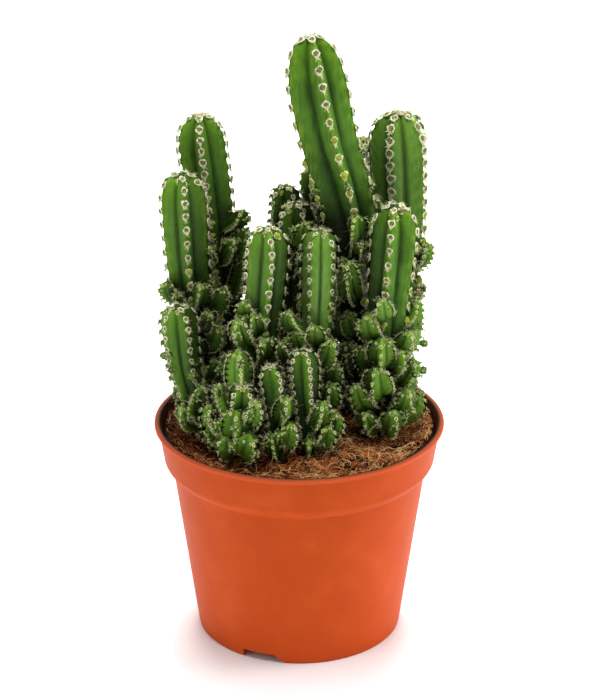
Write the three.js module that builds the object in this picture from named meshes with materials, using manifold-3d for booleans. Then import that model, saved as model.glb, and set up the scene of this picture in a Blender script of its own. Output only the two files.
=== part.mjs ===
// A potted tall cactus: ribbed stems crowded with small offsets, standing in soil in a plastic nursery pot.
// Millimetres, +Z up. The pot stands on z = 0 with its axis on the Z axis, and the front faces -Y.
import * as THREE from "three";
import { mergeVertices } from "three/addons/utils/BufferGeometryUtils.js";
import Module from "manifold-3d";

const wasm = await Module();
wasm.setup();

// ---- Pot ----
const POT_HEIGHT = 100;
const RIM_RADIUS = 65;
const FOOT_RADIUS = 46;
const WALL = 1.7;
const SHOULDER_Z = 78; // where the tapered wall turns out to the collar
const SHOULDER_RADIUS = 57;
const COLLAR_Z = 84; // the collar's lower edge
const COLLAR_RADIUS = 61;
const LIP_Z = 97.8; // the underside of the lip
const LIP_NECK_RADIUS = 63.3;
const LIP_ROUNDING = 1;
const FLOOR_Z = 4.8; // the underside of the pot's floor, above its foot ring
const FLOOR_THICKNESS = 1.8;
const FOOT_RING = 2.3; // the foot ring's thickness
const LIP_STEP = 0.7; // how far the lip's inner edge lies out of the inner wall
const NOTCH_HEIGHT = 4;
const NOTCH_WIDTH = 15;
const NOTCH_SLOPE = 5; // how far one end of a notch slopes in
const NOTCH_CUT = 12; // how deep its cutter is, from outside the foot inwards
const NOTCH_ANGLES = [-113.5, 6.5, 126.5];
const DRAIN_RADIUS = 3;
const DRAIN_CIRCLE = 28;
const DRAIN_COUNT = 6;
const DRAIN_SIDES = 8;
const TURN_SEGMENTS = 32;

// ---- Soil ----
const GAP = 0.35; // the clearance between neighbouring pieces
const SOIL_EDGE_Z = 92.5;
const SOIL_MOUND = 3;
const SOIL_RELIEF = 0.45;
const SOIL_RINGS = [24, 46];
const ROOT_DEPTH = 10; // how deep a stem's neck stands in the soil, below the soil's edge

// ---- Stems ----
const NECK_SHARE = 0.56; // the round neck in the soil, as a share of the stem's crest radius
const NECK_SIDES = 8;
const BASE_SHARE = 0.63; // the stem's radius at the soil as a share of its full one
const BODY_SHARE = 0.9; // where the stem reaches its full radius, as a share of its length
const LIFT = 1.2; // the ribs start this far above the soil
const GROOVE = 0.55; // the groove's radius as a share of the crest's
const CREST_ROUNDING = 0.12;
const FLANK_POWER = 0.75;
const DOME = 1.45; // the domed tip's length in crest radii, for a stem without its own
const DOME_POWER = 2.3; // the higher, the blunter the dome
const POINTS_PER_RIB = 2; // a crest and a groove
const KNOB_STEP = 17; // about how far apart the cushions built here stand: one areole in two to four
const KNOB_OUT = 1; // how far an areole's cushion stands out of its crest
const DIP = 0.4; // how far the crest dips between two cushions
const FIRST_KNOB = 0.15; // the first cushions' distance from the tip, in crest radii
const BARE_END = 4; // the length above the soil without cushions
const NECK_LAP = 3; // how far the round neck reaches up inside the ribs

// Each stem: its crest radius, its ribs, the compass angle of its first rib, the areoles' spacing, and the
// points of its centre line from the soil up. The slender tip of the tallest has its own length as dome.
// offsets lists the tops of the larger offsets as [x, y, z, radius, length], and sprouts is the number of
// small ones drawn at random below sproutTop.
const STEMS = [
  { name: "stem_tall", radius: 13.1, ribs: 5, turn: -78, areole: 8.6, dome: 2.1,
    line: [[27, 15, 95], [28, 14, 140], [22.4, 12, 191], [12.6, 12, 228], [7.5, 12, 254], [4.5, 12, 275.5]],
    offsets: [[25, -3, 198, 4.8, 17], [21.5, -5, 178, 5.4, 24], [27, -2, 186, 3.2, 12],
      [17, 28, 150, 4.8, 15], [15, 27, 126, 4.8, 15], [22, 0, 152, 4.4, 15], [16, 7, 148, 4.8, 17],
      [21, 1, 137, 5, 18], [18, 6, 118, 5, 15]],
    sprouts: 1, sproutTop: 150 },
  { name: "stem_back_right", radius: 13.2, ribs: 5, turn: -110, areole: 6.2,
    line: [[38, 30, 95], [43, 33.5, 135], [45.6, 34, 183], [43.8, 34, 234]],
    offsets: [[56.5, 24, 175, 5, 15], [33, 22, 198, 3.4, 12], [54, 40, 150, 5, 15], [46, 49, 136, 5, 15],
      [53, 26, 140, 4.6, 15], [38, 44, 120, 4.6, 15]],
    sprouts: 1, sproutTop: 165 },
  { name: "stem_back_left", radius: 10.8, ribs: 5, turn: -90, areole: 5.8,
    line: [[-33, 32, 95], [-35, 33, 135], [-38, 34, 173], [-43, 36, 214], [-44.4, 36, 232]],
    offsets: [[-25.5, 29, 189, 4.4, 12], [-29, 22, 178, 4.2, 14], [-24, 27, 181, 4.8, 18],
      [-25.2, 27, 170, 5, 28], [-48, 42, 150, 4.8, 15], [-34, 47, 138, 5, 15], [-42, 44, 122, 4.8, 15]],
    sprouts: 1, sproutTop: 165 },
  { name: "stem_left", radius: 10.2, ribs: 5, turn: -81, areole: 6.8,
    line: [[-40, 12, 95], [-44.5, 12, 130], [-49, 12, 158], [-51.6, 12, 197], [-51.8, 12, 213]],
    offsets: [[-58.5, 5, 164, 4.2, 12], [-43, 0, 165, 4.4, 14], [-33, 3, 162, 4.4, 15], [-40, -2, 153, 4, 12],
      [-35, -2, 146, 4.6, 14], [-54, 1, 160, 3.2, 10], [-56, 22, 140, 4.8, 15], [-50, 26, 122, 4.8, 15],
      [-45, 1, 139, 4, 13], [-36, -1, 130, 4.6, 15], [-29, 6, 120, 4.6, 15]],
    sprouts: 1, sproutTop: 160 },
  { name: "stem_left_low", radius: 8.3, ribs: 5, turn: -54, areole: 5.6,
    line: [[-41, -6, 95], [-46, -8, 108], [-51.5, -9.5, 130], [-54, -10.5, 159.5]],
    offsets: [[-51, -17, 113, 4.2, 12], [-42, -16, 123, 4.4, 15], [-46.5, -18, 118, 3.8, 13]],
    sprouts: 1, sproutTop: 125 },
  { name: "stem_right", radius: 10.3, ribs: 5, turn: -97, areole: 7.3,
    line: [[38, -5, 95], [38, -4, 128], [39.3, -4, 161], [41.2, -4, 187], [41.6, -4, 204]],
    offsets: [[36, -16, 164, 3.8, 13], [30, -15, 156, 4.8, 14], [36, -19, 147, 5.8, 18],
      [34, -21, 134, 6.2, 18], [25, -17, 124, 5.4, 16], [29, -20, 112, 4.6, 13], [41, -20, 113, 5.2, 15],
      [47, -15, 121, 5, 15], [50, -7, 132, 5.6, 15], [48, -11, 147, 4.6, 13], [44, -16, 140, 4, 12],
      [51, -3, 158, 4.4, 13], [28, -11, 140, 4.2, 14], [23, -9, 117, 4, 13], [46, 8, 138, 5.2, 15],
      [49, 7, 118, 5, 15], [52, -2, 112, 4.6, 12], [50.5, 0, 144, 4.8, 14]],
    sprouts: 1, sproutTop: 150 },
  { name: "stem_mid_left", radius: 9.5, ribs: 5, turn: -78, areole: 6.6,
    line: [[-17, -8, 95], [-17, -8, 143], [-14.2, -7, 180], [-14.4, -7, 195]],
    offsets: [[-26, -19, 156, 5.4, 16], [-15, -21, 148, 4.6, 15], [-20, -18, 158, 3.8, 12],
      [-24, -16, 163, 3.4, 10], [-25, 2, 151, 4.8, 20], [-16, 6, 130, 5, 15], [-30, -11, 137, 5.2, 16],
      [-28, -12, 122, 5, 15], [-20, -21, 136, 4.6, 15]],
    sprouts: 1, sproutTop: 150 },
  { name: "stem_mid_right", radius: 7.6, ribs: 5, turn: -54, areole: 6.2,
    line: [[6, -9, 95], [7.4, -8, 135], [8.8, -7, 165], [9.4, -6, 193]],
    offsets: [[-5, -17, 159, 3.6, 13], [-8, -22, 146, 4.6, 14], [6, -18, 153, 4.2, 13],
      [13.5, -18, 146, 4.8, 15], [-1, -17, 150, 3.6, 12], [16, -13, 132, 4.4, 14], [14, -20, 126, 5, 16],
      [7, 3, 132, 4.6, 14], [-1, -11, 112, 5, 13]],
    sprouts: 1, sproutTop: 150 },
  { name: "stem_mid_back", radius: 8.2, ribs: 5, turn: -70, areole: 5,
    line: [[-4, 20, 95], [-3, 20, 140], [-1.5, 20, 180], [-1, 20, 196]],
    offsets: [[3, 10.5, 190, 4.4, 15], [1, 9, 176, 4, 13], [-10, 13, 176, 4, 13], [5, 27, 150, 4.6, 15],
      [-8, 9, 134, 5, 16]],
    sprouts: 1, sproutTop: 165 },
  { name: "stem_back", radius: 7.2, ribs: 5, turn: -60, areole: 4.6,
    line: [[-14, 38, 95], [-12, 38, 140], [-7, 36, 180], [-6, 36, 198.5]],
    offsets: [[-19, 45, 148, 4.6, 15], [-7, 45, 138, 4.4, 14]],
    sprouts: 1, sproutTop: 160 },
  { name: "stem_behind_tall", radius: 7.1, ribs: 5, turn: -110, areole: 5,
    line: [[10, 42, 95], [9.5, 44, 150], [7.2, 46, 204.5]],
    offsets: [[14, 49, 146, 4.4, 14], [2, 49, 122, 4.4, 14]],
    sprouts: 1, sproutTop: 160 },
  { name: "stem_far_right", radius: 5.6, ribs: 4, turn: -80, areole: 4.6,
    line: [[24, 46, 95], [27, 49, 150], [28.6, 50, 216.5]],
    offsets: [[20, 52, 130, 4.2, 14], [31, 44, 190, 3.2, 11]],
    sprouts: 2, sproutTop: 200 },
  { name: "offsets_front_left", radius: 6, ribs: 5, turn: -60, areole: 4.4,
    line: [[-27, -30, 95], [-26, -32, 110], [-24, -34, 132]],
    offsets: [[-26, -28, 145, 6.6, 22], [-27, -40, 122, 6.2, 18], [-22, -42.5, 112, 6.4, 15],
      [-32, -38, 109, 5.4, 13], [-38, -27, 119, 5.8, 16], [-39, -26, 107, 4.6, 11], [-34, -28, 129, 4.8, 16],
      [-19, -38, 126, 4.8, 16]],
    sprouts: 0, sproutTop: 125 },
  { name: "offsets_front", radius: 5.2, ribs: 4, turn: -50, areole: 4.2,
    line: [[-9, -31, 95], [-10, -30.5, 114], [-12.6, -29.5, 139]],
    offsets: [[-12, -39, 110, 5, 13], [-5.5, -34.5, 126, 4.8, 15], [-4, -38, 115, 5, 14],
      [-8.5, -26, 134, 4.2, 15]],
    sprouts: 0, sproutTop: 120 },
  { name: "offsets_front_right", radius: 6.4, ribs: 5, turn: -60, areole: 4.2,
    line: [[5, -26, 95], [2.5, -26, 118], [1.2, -26.5, 145]],
    offsets: [[4, -35, 106, 5, 11], [12, -31, 111, 5.2, 14], [10, -31, 122, 5, 15],
      [16.5, -26, 114, 4.6, 14]],
    sprouts: 0, sproutTop: 112 },
];

// ---- Offsets ----
const STOUT = 4.9; // an offset of a larger radius than this has one rib more
const LOBE_GROOVE = 0.66;
const LOBE_ROOT = 0.5; // the root's radius as a share of the offset's
const LOBE_ROWS = [0, 0.5, 0.86];
const LOBE_BEND = 0.75; // how much of the offset stands upright, as a share of its length
const LOBE_DROP = 0.3; // how far below its bend an offset grows out of the stem, as a share of its length
const LOBE_CLEAR = 4; // and the least height of that root above the ribs' start
const LOBE_UPRIGHT = 2; // the least height of the tip above the bend
const LOBE_SWELL = 0.6; // the offset reaches its full radius here, as a share of its length
const LOBE_TAPER = 0.62; // and its tip begins here
const LOBE_TIP_POWER = 2.4; // the higher, the blunter the tip
const LOBE_BALLS = [0.3, 0.45, 0.6, 0.75, 0.9]; // where balls stand for it in the clearance tests
const BALL_STEP = 5; // and how far apart they stand along a stem
const SPROUT_LOWEST = 12; // the least height of a sprout's top above the soil
const SPROUT_RADIUS = [2.6, 4];
const SPROUT_STRETCH = [2.6, 3.4]; // its length in its own radii
const SPROUT_REACH = [0.85, 1.1]; // how far out its top stands, in its stem's radii and in its own
const CLEAR = 0.6; // the least clearance between two stems with all that grows on them
const LEAST_SHARE = 0.6; // an offset that would have to shrink below this is left out
const SHRINK = 0.92;

// ---- Spines ----
const SPINE_RADIUS = 0.4;
const SPINE_LENGTH = 3.4;
const SPINE_ROOT = 1.2;
const SPINE_TURN = 2; // each row of cushions has one spine, this many ribs on from the last row's
const SPINE_DROOP = 0.55; // how far a spine points down against out
const SEED = 4211;

// ---- Small helpers ----
const radians = THREE.MathUtils.degToRad;
const polar = (radius, angle, z) => new THREE.Vector3(radius * Math.cos(angle), radius * Math.sin(angle), z);

// A draw between 0 and 1 that gives the same row of numbers for the same seed.
function draws(seed) {
  let state = seed;
  return () => {
    state = (state * 16807) % 2147483647;
    return state / 2147483647;
  };
}

const between = (range, draw) => range[0] + (range[1] - range[0]) * draw;

function toSolid(geometry) {
  const bare = geometry.clone();
  bare.deleteAttribute("normal");
  bare.deleteAttribute("uv");
  const merged = mergeVertices(bare, 1e-4);
  return new wasm.Manifold(new wasm.Mesh({
    numProp: 3,
    vertProperties: merged.attributes.position.array,
    triVerts: new Uint32Array(merged.index.array),
  }));
}

function toGeometry(solid) {
  const mesh = solid.getMesh();
  const geometry = new THREE.BufferGeometry();
  geometry.setAttribute("position", new THREE.BufferAttribute(new Float32Array(mesh.vertProperties), 3));
  geometry.setIndex(new THREE.BufferAttribute(new Uint32Array(mesh.triVerts), 1));
  geometry.computeVertexNormals();
  return geometry;
}

// The largest of a solid's separate bodies, without the loose scraps.
function largest(solid) {
  return solid.decompose().reduce((a, b) => (b.volume() > a.volume() ? b : a));
}

// A closed ring turned about the Z axis from [radius, z] points listed up the outside and down the inside.
function turned(points) {
  const profile = points.map(([r, z]) => new THREE.Vector2(r, z));
  return new THREE.LatheGeometry(profile, TURN_SEGMENTS).rotateX(Math.PI / 2);
}

function add(group, name, geometry, colour, roughness) {
  const material = new THREE.MeshStandardMaterial({ color: colour, roughness, metalness: 0 });
  const mesh = new THREE.Mesh(geometry, material);
  mesh.name = name;
  group.add(mesh);
}

// ---- Pot ----

// The wall's outer radius below the lip at a height z.
function outerRadius(z) {
  if (z <= SHOULDER_Z) return THREE.MathUtils.mapLinear(z, 0, SHOULDER_Z, FOOT_RADIUS, SHOULDER_RADIUS);
  if (z >= COLLAR_Z) return THREE.MathUtils.mapLinear(z, COLLAR_Z, LIP_Z, COLLAR_RADIUS, LIP_NECK_RADIUS);
  const t = (z - SHOULDER_Z) / (COLLAR_Z - SHOULDER_Z);
  return SHOULDER_RADIUS + (COLLAR_RADIUS - SHOULDER_RADIUS) * t * (2 - t);
}

const innerRadius = (z) => outerRadius(z) - WALL;

function potProfile() {
  const shoulder = [0.3, 0.7].map((t) => SHOULDER_Z + t * (COLLAR_Z - SHOULDER_Z));
  const lip = [
    [RIM_RADIUS - LIP_ROUNDING, LIP_Z],
    [RIM_RADIUS, LIP_Z + LIP_ROUNDING],
    [RIM_RADIUS, POT_HEIGHT - LIP_ROUNDING],
    [RIM_RADIUS - LIP_ROUNDING, POT_HEIGHT],
  ];
  const outside = [0, SHOULDER_Z, ...shoulder, COLLAR_Z, LIP_Z].map((z) => [outerRadius(z), z]);
  const inside = [LIP_Z, COLLAR_Z, SHOULDER_Z].map((z) => [innerRadius(z), z]);
  const floorTop = FLOOR_Z + FLOOR_THICKNESS;
  return [
    [0, FLOOR_Z],
    [outerRadius(FLOOR_Z) - FOOT_RING, FLOOR_Z],
    [FOOT_RADIUS - FOOT_RING, 0],
    ...outside,
    ...lip,
    [innerRadius(LIP_Z) + LIP_STEP, POT_HEIGHT],
    ...inside,
    [innerRadius(floorTop), floorTop],
    [0, floorTop],
  ];
}

// The cutter of one foot notch: a low gate with one sloping end, pushed out through the foot ring.
function notchCutter(angle) {
  const gate = new THREE.Shape();
  gate.moveTo(-NOTCH_WIDTH / 2, -NOTCH_HEIGHT);
  gate.lineTo(NOTCH_WIDTH / 2 + 2 * NOTCH_SLOPE, -NOTCH_HEIGHT);
  gate.lineTo(NOTCH_WIDTH / 2, NOTCH_HEIGHT);
  gate.lineTo(-NOTCH_WIDTH / 2, NOTCH_HEIGHT);
  gate.closePath();
  const cutter = new THREE.ExtrudeGeometry(gate, { depth: NOTCH_CUT, bevelEnabled: false });
  cutter.rotateX(Math.PI / 2).translate(0, NOTCH_CUT / 2 - FOOT_RADIUS, 0);
  return toSolid(cutter.rotateZ(radians(angle + 90)));
}

function makePot() {
  let pot = toSolid(turned(potProfile()));
  for (const angle of NOTCH_ANGLES) pot = pot.subtract(notchCutter(angle));
  for (let i = 0; i < DRAIN_COUNT; i++) {
    const centre = polar(DRAIN_CIRCLE, (2 * Math.PI * i) / DRAIN_COUNT, FLOOR_Z);
    const drill = new THREE.CylinderGeometry(DRAIN_RADIUS, DRAIN_RADIUS, 3 * FLOOR_THICKNESS, DRAIN_SIDES);
    pot = pot.subtract(toSolid(drill.rotateX(Math.PI / 2).translate(centre.x, centre.y, centre.z)));
  }
  return toGeometry(pot);
}

// ---- Soil ----

// The height of the soil's surface: a low mound with gentle waves.
function soilTop(x, y) {
  const share = Math.min(1, Math.hypot(x, y) / innerRadius(SOIL_EDGE_Z));
  const wave = Math.sin(0.21 * x + 0.4) * Math.cos(0.17 * y) + 0.5 * Math.sin(0.4 * x + 0.33 * y);
  return SOIL_EDGE_Z + SOIL_MOUND * (1 - share * share) + SOIL_RELIEF * wave * (1 - share ** 6);
}

function neckRadius(stem) {
  return stem.radius * NECK_SHARE;
}

// A round upright plug from the root's depth up to a height above the soil, at a stem's base.
function plug(stem, radius, bottom, top) {
  const [x, y] = stem.line[0];
  const cylinder = new THREE.CylinderGeometry(radius, radius, top - bottom, NECK_SIDES).rotateX(Math.PI / 2);
  return toSolid(cylinder.translate(x, y, (top + bottom) / 2));
}

function makeSoil() {
  const bottom = FLOOR_Z + FLOOR_THICKNESS + GAP;
  const edge = [bottom, SHOULDER_Z, COLLAR_Z, SOIL_EDGE_Z].map((z) => [innerRadius(z) - GAP, z]);
  const rings = [...SOIL_RINGS].reverse().map((r) => [r, SOIL_EDGE_Z]);
  const geometry = turned([[0, bottom], ...edge, ...rings, [0, SOIL_EDGE_Z]]);
  const spots = geometry.attributes.position;
  for (let i = 0; i < spots.count; i++)
    if (spots.getZ(i) > SOIL_EDGE_Z - 0.01) spots.setZ(i, soilTop(spots.getX(i), spots.getY(i)));
  let soil = toSolid(geometry);
  for (const stem of STEMS) {
    const hole = plug(stem, neckRadius(stem) + GAP, SOIL_EDGE_Z - ROOT_DEPTH - GAP, POT_HEIGHT);
    soil = soil.subtract(hole);
  }
  return toGeometry(largest(soil));
}

// ---- Ribbed bodies ----

// The radius of a ribbed section as a share of its crest's, at a turn counted in ribs from a crest.
function ribShare(turn, groove) {
  const off = 2 * Math.abs(turn - Math.round(turn));
  const c = CREST_ROUNDING;
  const ramp = (Math.sqrt(off * off + c * c) - c) / (Math.sqrt(1 + c * c) - c);
  return 1 - (1 - groove) * ramp ** FLANK_POWER;
}

// Bends a unit column, with rows at heights along Y, onto frames that give a centre, two side axes and a
// radius. A frame's knob is how far the crests stand out there besides.
function ribbed({ rows, ribs, groove, turn, frameAt }) {
  const profile = [new THREE.Vector2(0, rows[0]), ...rows.map((t) => new THREE.Vector2(1, t))];
  profile.push(new THREE.Vector2(0, 1));
  const geometry = new THREE.LatheGeometry(profile, ribs * POINTS_PER_RIB);
  const spots = geometry.attributes.position;
  for (let i = 0; i < spots.count; i++) {
    const t = spots.getY(i);
    const angle = Math.atan2(spots.getX(i), spots.getZ(i));
    const frame = frameAt(t);
    const share = ribShare((angle * ribs) / (2 * Math.PI), groove);
    const knob = share > 0.99 ? frame.knob : 0;
    const r = Math.hypot(spots.getX(i), spots.getZ(i)) * (frame.radius * share + knob);
    const spot = frame.centre.clone().addScaledVector(frame.u, r * Math.cos(angle + turn));
    spot.addScaledVector(frame.v, r * Math.sin(angle + turn));
    spots.setXYZ(i, spot.x, spot.y, spot.z);
  }
  return toSolid(geometry);
}

// The stem's centre line, length and radius, worked out once for each stem.
function measured(stem) {
  const points = stem.line.map(([x, y, z]) => new THREE.Vector3(x, y, z));
  points[0].z = soilTop(points[0].x, points[0].y) + LIFT;
  const curve = new THREE.CatmullRomCurve3(points, false, "catmullrom", 0.5);
  return { ...stem, curve, length: curve.getLength() };
}

// The crest radius at a distance from the tip: a dome, a straight body and a narrower base.
function stemRadius(stem, fromTip) {
  const dome = (stem.dome ?? DOME) * stem.radius;
  const rise = Math.max(0, 1 - fromTip / dome);
  const above = stem.length - fromTip;
  const base = THREE.MathUtils.smoothstep(above, 0, BODY_SHARE * stem.length);
  return stem.radius * Math.sqrt(1 - rise ** DOME_POWER) * THREE.MathUtils.lerp(BASE_SHARE, 1, base);
}

function stemFrame(stem, t) {
  const tangent = stem.curve.getTangentAt(t);
  const u = new THREE.Vector3(1, 0, 0).addScaledVector(tangent, -tangent.x).normalize();
  const v = new THREE.Vector3().crossVectors(tangent, u);
  const fromTip = (1 - t) * stem.length;
  const knob = isKnob(stem, fromTip) ? KNOB_OUT : -DIP;
  return { centre: stem.curve.getPointAt(t), u, v, tangent, knob, radius: stemRadius(stem, fromTip) };
}

const knobStep = (stem) => stem.areole * Math.round(KNOB_STEP / stem.areole);

// The cushions' distances from the tip, one row of them round the stem at each.
function knobRows(stem) {
  const count = Math.floor((stem.length - BARE_END) / knobStep(stem));
  return Array.from({ length: count }, (_, i) => FIRST_KNOB * stem.radius + i * knobStep(stem));
}

function isKnob(stem, fromTip) {
  return knobRows(stem).some((d) => Math.abs(d - fromTip) < 0.01);
}

function stemBody(stem) {
  const knobs = knobRows(stem);
  const dips = knobs.map((d) => d + knobStep(stem) / 2);
  const rows = [...knobs, ...dips].filter((d) => d < stem.length - 1).sort((a, b) => b - a);
  return ribbed({
    rows: [stem.length, ...rows].map((d) => 1 - d / stem.length),
    ribs: stem.ribs,
    groove: GROOVE,
    turn: radians(stem.turn),
    frameAt: (t) => stemFrame(stem, t),
  });
}

// ---- Offsets ----

// The point of a stem's centre line at a height z, or its nearest end.
function lineAt(stem, z) {
  let low = 0;
  let high = 1;
  for (let i = 0; i < 24; i++) {
    const middle = (low + high) / 2;
    if (stem.curve.getPoint(middle).z < z) low = middle;
    else high = middle;
  }
  return stem.curve.getPoint(low);
}

// An offset grows out of the stem's centre line and turns up to its top.
function lobe(stem, [x, y, z, radius, length], ribs) {
  const ground = soilTop(x, y) + LIFT;
  const bend = Math.max(z - LOBE_BEND * length, Math.min(ground + radius, z - LOBE_UPRIGHT));
  const root = lineAt(stem, Math.max(bend - LOBE_DROP * length, ground + LOBE_CLEAR));
  const tip = new THREE.Vector3(x, y, z);
  const curve = new THREE.QuadraticBezierCurve3(root, new THREE.Vector3(x, y, bend), tip);
  const side = new THREE.Vector3(root.y - y, x - root.x, 0).normalize();
  return { curve, side, radius, ribs };
}

function lobeRadius(piece, t) {
  const swell = THREE.MathUtils.smoothstep(t, 0, LOBE_SWELL);
  const rise = Math.max(0, (t - LOBE_TAPER) / (1 - LOBE_TAPER));
  return piece.radius * (LOBE_ROOT + (1 - LOBE_ROOT) * swell) * Math.sqrt(1 - rise ** LOBE_TIP_POWER);
}

function lobeFrame(piece, t) {
  const tangent = piece.curve.getTangent(t);
  const v = new THREE.Vector3().crossVectors(tangent, piece.side);
  return { centre: piece.curve.getPoint(t), u: piece.side, v, knob: 0, radius: lobeRadius(piece, t) };
}

function lobeBody(piece) {
  return ribbed({
    rows: LOBE_ROWS,
    ribs: piece.ribs,
    groove: LOBE_GROOVE,
    turn: 0,
    frameAt: (t) => lobeFrame(piece, t),
  });
}

// Balls along a stem or an offset stand for it where the clearance to its neighbours is tested.
function stemBalls(stem) {
  const count = Math.ceil(stem.length / BALL_STEP);
  return Array.from({ length: count + 1 }, (_, i) => {
    const frame = stemFrame(stem, i / count);
    return { centre: frame.centre, radius: frame.radius };
  });
}

function lobeBalls(piece) {
  return LOBE_BALLS.map((t) => ({ centre: piece.curve.getPoint(t), radius: lobeRadius(piece, t) }));
}

function roomFor(piece, owner, taken) {
  return lobeBalls(piece).every((ball) => taken.every((other) =>
    other.owner === owner || ball.centre.distanceTo(other.centre) > ball.radius + other.radius + CLEAR));
}

// The offset as large as its room allows, down to a least share of its size, or nothing.
function fitted(stem, spec, ribs, taken) {
  const [x, y, z, radius, length] = spec;
  for (let share = 1; share >= LEAST_SHARE; share *= SHRINK) {
    const piece = lobe(stem, [x, y, z, radius * share, length], ribs);
    if (roomFor(piece, stem.name, taken)) return piece;
  }
  return null;
}

// A small offset at a random height and side of the stem.
function sprout(stem, draw) {
  const low = soilTop(...stem.line[0].slice(0, 2)) + SPROUT_LOWEST;
  const z = between([low, stem.sproutTop], draw());
  const angle = 2 * Math.PI * draw();
  const radius = between(SPROUT_RADIUS, draw());
  const length = radius * between(SPROUT_STRETCH, draw());
  const centre = lineAt(stem, z - length);
  const reach = stem.radius * SPROUT_REACH[0] + radius * SPROUT_REACH[1];
  return [centre.x + reach * Math.cos(angle), centre.y + reach * Math.sin(angle), z, radius, length];
}

// All offsets of all stems, placed one after another so that none comes near another stem's growth.
function placeOffsets(stems) {
  const taken = stems.flatMap((stem) => stemBalls(stem).map((ball) => ({ ...ball, owner: stem.name })));
  const draw = draws(SEED);
  const keep = (stem, spec) => {
    const ribs = (draw() < 0.5 ? 3 : 4) + (spec[3] > STOUT ? 1 : 0);
    const piece = fitted(stem, spec, ribs, taken);
    if (!piece) return;
    stem.lobes.push(piece);
    taken.push(...lobeBalls(piece).map((ball) => ({ ...ball, owner: stem.name })));
  };
  for (const stem of stems) {
    stem.lobes = [];
    for (const spec of stem.offsets) keep(stem, spec);
  }
  for (const stem of stems)
    for (let i = 0; i < stem.sprouts; i++) keep(stem, sprout(stem, draw));
  return taken;
}

// ---- Spines ----

// A three-sided needle that points out of a crest and a little down.
function spine(spot, out, up) {
  const aim = out.clone().addScaledVector(up, -SPINE_DROOP).normalize();
  const height = SPINE_LENGTH + SPINE_ROOT;
  const needle = new THREE.ConeGeometry(SPINE_RADIUS, height, 3).translate(0, height / 2 - SPINE_ROOT, 0);
  needle.applyQuaternion(new THREE.Quaternion().setFromUnitVectors(new THREE.Vector3(0, 1, 0), aim));
  return toSolid(needle.translate(spot.x, spot.y, spot.z));
}

function crestSpine(frame, angle) {
  const out = frame.u.clone().multiplyScalar(Math.cos(angle)).addScaledVector(frame.v, Math.sin(angle));
  const spot = frame.centre.clone().addScaledVector(out, frame.radius + frame.knob);
  return { make: () => spine(spot, out, frame.tangent), spot };
}

function stemSpines(stem) {
  return knobRows(stem).map((fromTip, row) => {
    const frame = stemFrame(stem, 1 - fromTip / stem.length);
    return crestSpine(frame, radians(stem.turn) + (2 * Math.PI * SPINE_TURN * row) / stem.ribs);
  });
}

// A spine is built where nothing of another stem is near.
function clearSpot(spot, owner, taken) {
  return taken.every((other) =>
    other.owner === owner || spot.distanceTo(other.centre) > other.radius + CLEAR + SPINE_LENGTH);
}

// ---- Stems with all that grows on them ----

function makeStem(stem, taken) {
  const top = soilTop(stem.line[0][0], stem.line[0][1]) + LIFT + NECK_LAP;
  let solid = stemBody(stem).add(plug(stem, neckRadius(stem), SOIL_EDGE_Z - ROOT_DEPTH, top));
  for (const piece of stem.lobes) solid = solid.add(lobeBody(piece));
  for (const needle of stemSpines(stem))
    if (clearSpot(needle.spot, stem.name, taken)) solid = solid.add(needle.make());
  return toGeometry(largest(solid));
}

const cactus = new THREE.Group();
add(cactus, "pot", makePot(), 0xc65a26, 0.5);
add(cactus, "soil", makeSoil(), 0x5a3522, 0.95);
const stems = STEMS.map(measured);
const taken = placeOffsets(stems);
for (const stem of stems) add(cactus, stem.name, makeStem(stem, taken), 0x4f7f24, 0.55);

export default cactus;
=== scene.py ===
# %% [markdown]
# # A potted tall cactus
# A clump of ribbed cactus columns stands in a plastic nursery pot. Every rib carries a row of woolly
# cushions with short spines, the areoles, and the lower stems are crowded with small lumpy offsets. The
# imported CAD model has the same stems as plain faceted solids. This lesson dresses it: each piece of the CAD
# model is replaced by a finer one that keeps its form and its place. All sizes are written in millimetres,
# as on the bench, and turned into Blender's metres only when a mesh is made.

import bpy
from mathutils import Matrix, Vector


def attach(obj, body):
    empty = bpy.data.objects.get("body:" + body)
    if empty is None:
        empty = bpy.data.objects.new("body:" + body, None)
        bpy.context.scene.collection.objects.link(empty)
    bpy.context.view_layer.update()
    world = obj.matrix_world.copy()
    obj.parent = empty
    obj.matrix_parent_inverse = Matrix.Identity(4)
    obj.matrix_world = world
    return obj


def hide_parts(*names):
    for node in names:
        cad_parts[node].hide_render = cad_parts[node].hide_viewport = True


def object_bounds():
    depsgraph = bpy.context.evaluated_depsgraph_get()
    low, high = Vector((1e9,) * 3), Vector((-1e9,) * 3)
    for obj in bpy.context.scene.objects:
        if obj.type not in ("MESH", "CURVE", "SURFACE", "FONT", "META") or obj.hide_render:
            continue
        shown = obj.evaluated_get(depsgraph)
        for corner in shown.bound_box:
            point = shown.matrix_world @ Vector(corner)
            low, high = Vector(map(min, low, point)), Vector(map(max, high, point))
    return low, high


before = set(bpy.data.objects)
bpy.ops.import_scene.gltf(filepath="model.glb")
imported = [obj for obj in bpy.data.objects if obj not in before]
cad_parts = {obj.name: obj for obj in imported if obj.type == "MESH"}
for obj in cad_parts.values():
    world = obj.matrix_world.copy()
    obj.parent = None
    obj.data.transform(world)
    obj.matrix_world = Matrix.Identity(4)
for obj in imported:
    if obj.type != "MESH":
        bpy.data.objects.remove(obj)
cad_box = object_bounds()
print("CAD pieces:", len(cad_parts))
print("CAD box in metres:", [[round(c, 4) for c in corner] for corner in cad_box])

# %% [markdown]
# ## Tools of the bench
# A plant is thousands of small, nearly equal pieces, so the meshes here are worked out as arrays of points
# with numpy and handed to Blender in one go, which is far quicker than adding objects one by one. One
# random generator with a fixed seed draws every chance value, so that each run grows the same plant.

# %% Points, triangles and meshes
import math

import bmesh
import bpy
import numpy as np
from mathutils import Vector

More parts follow.
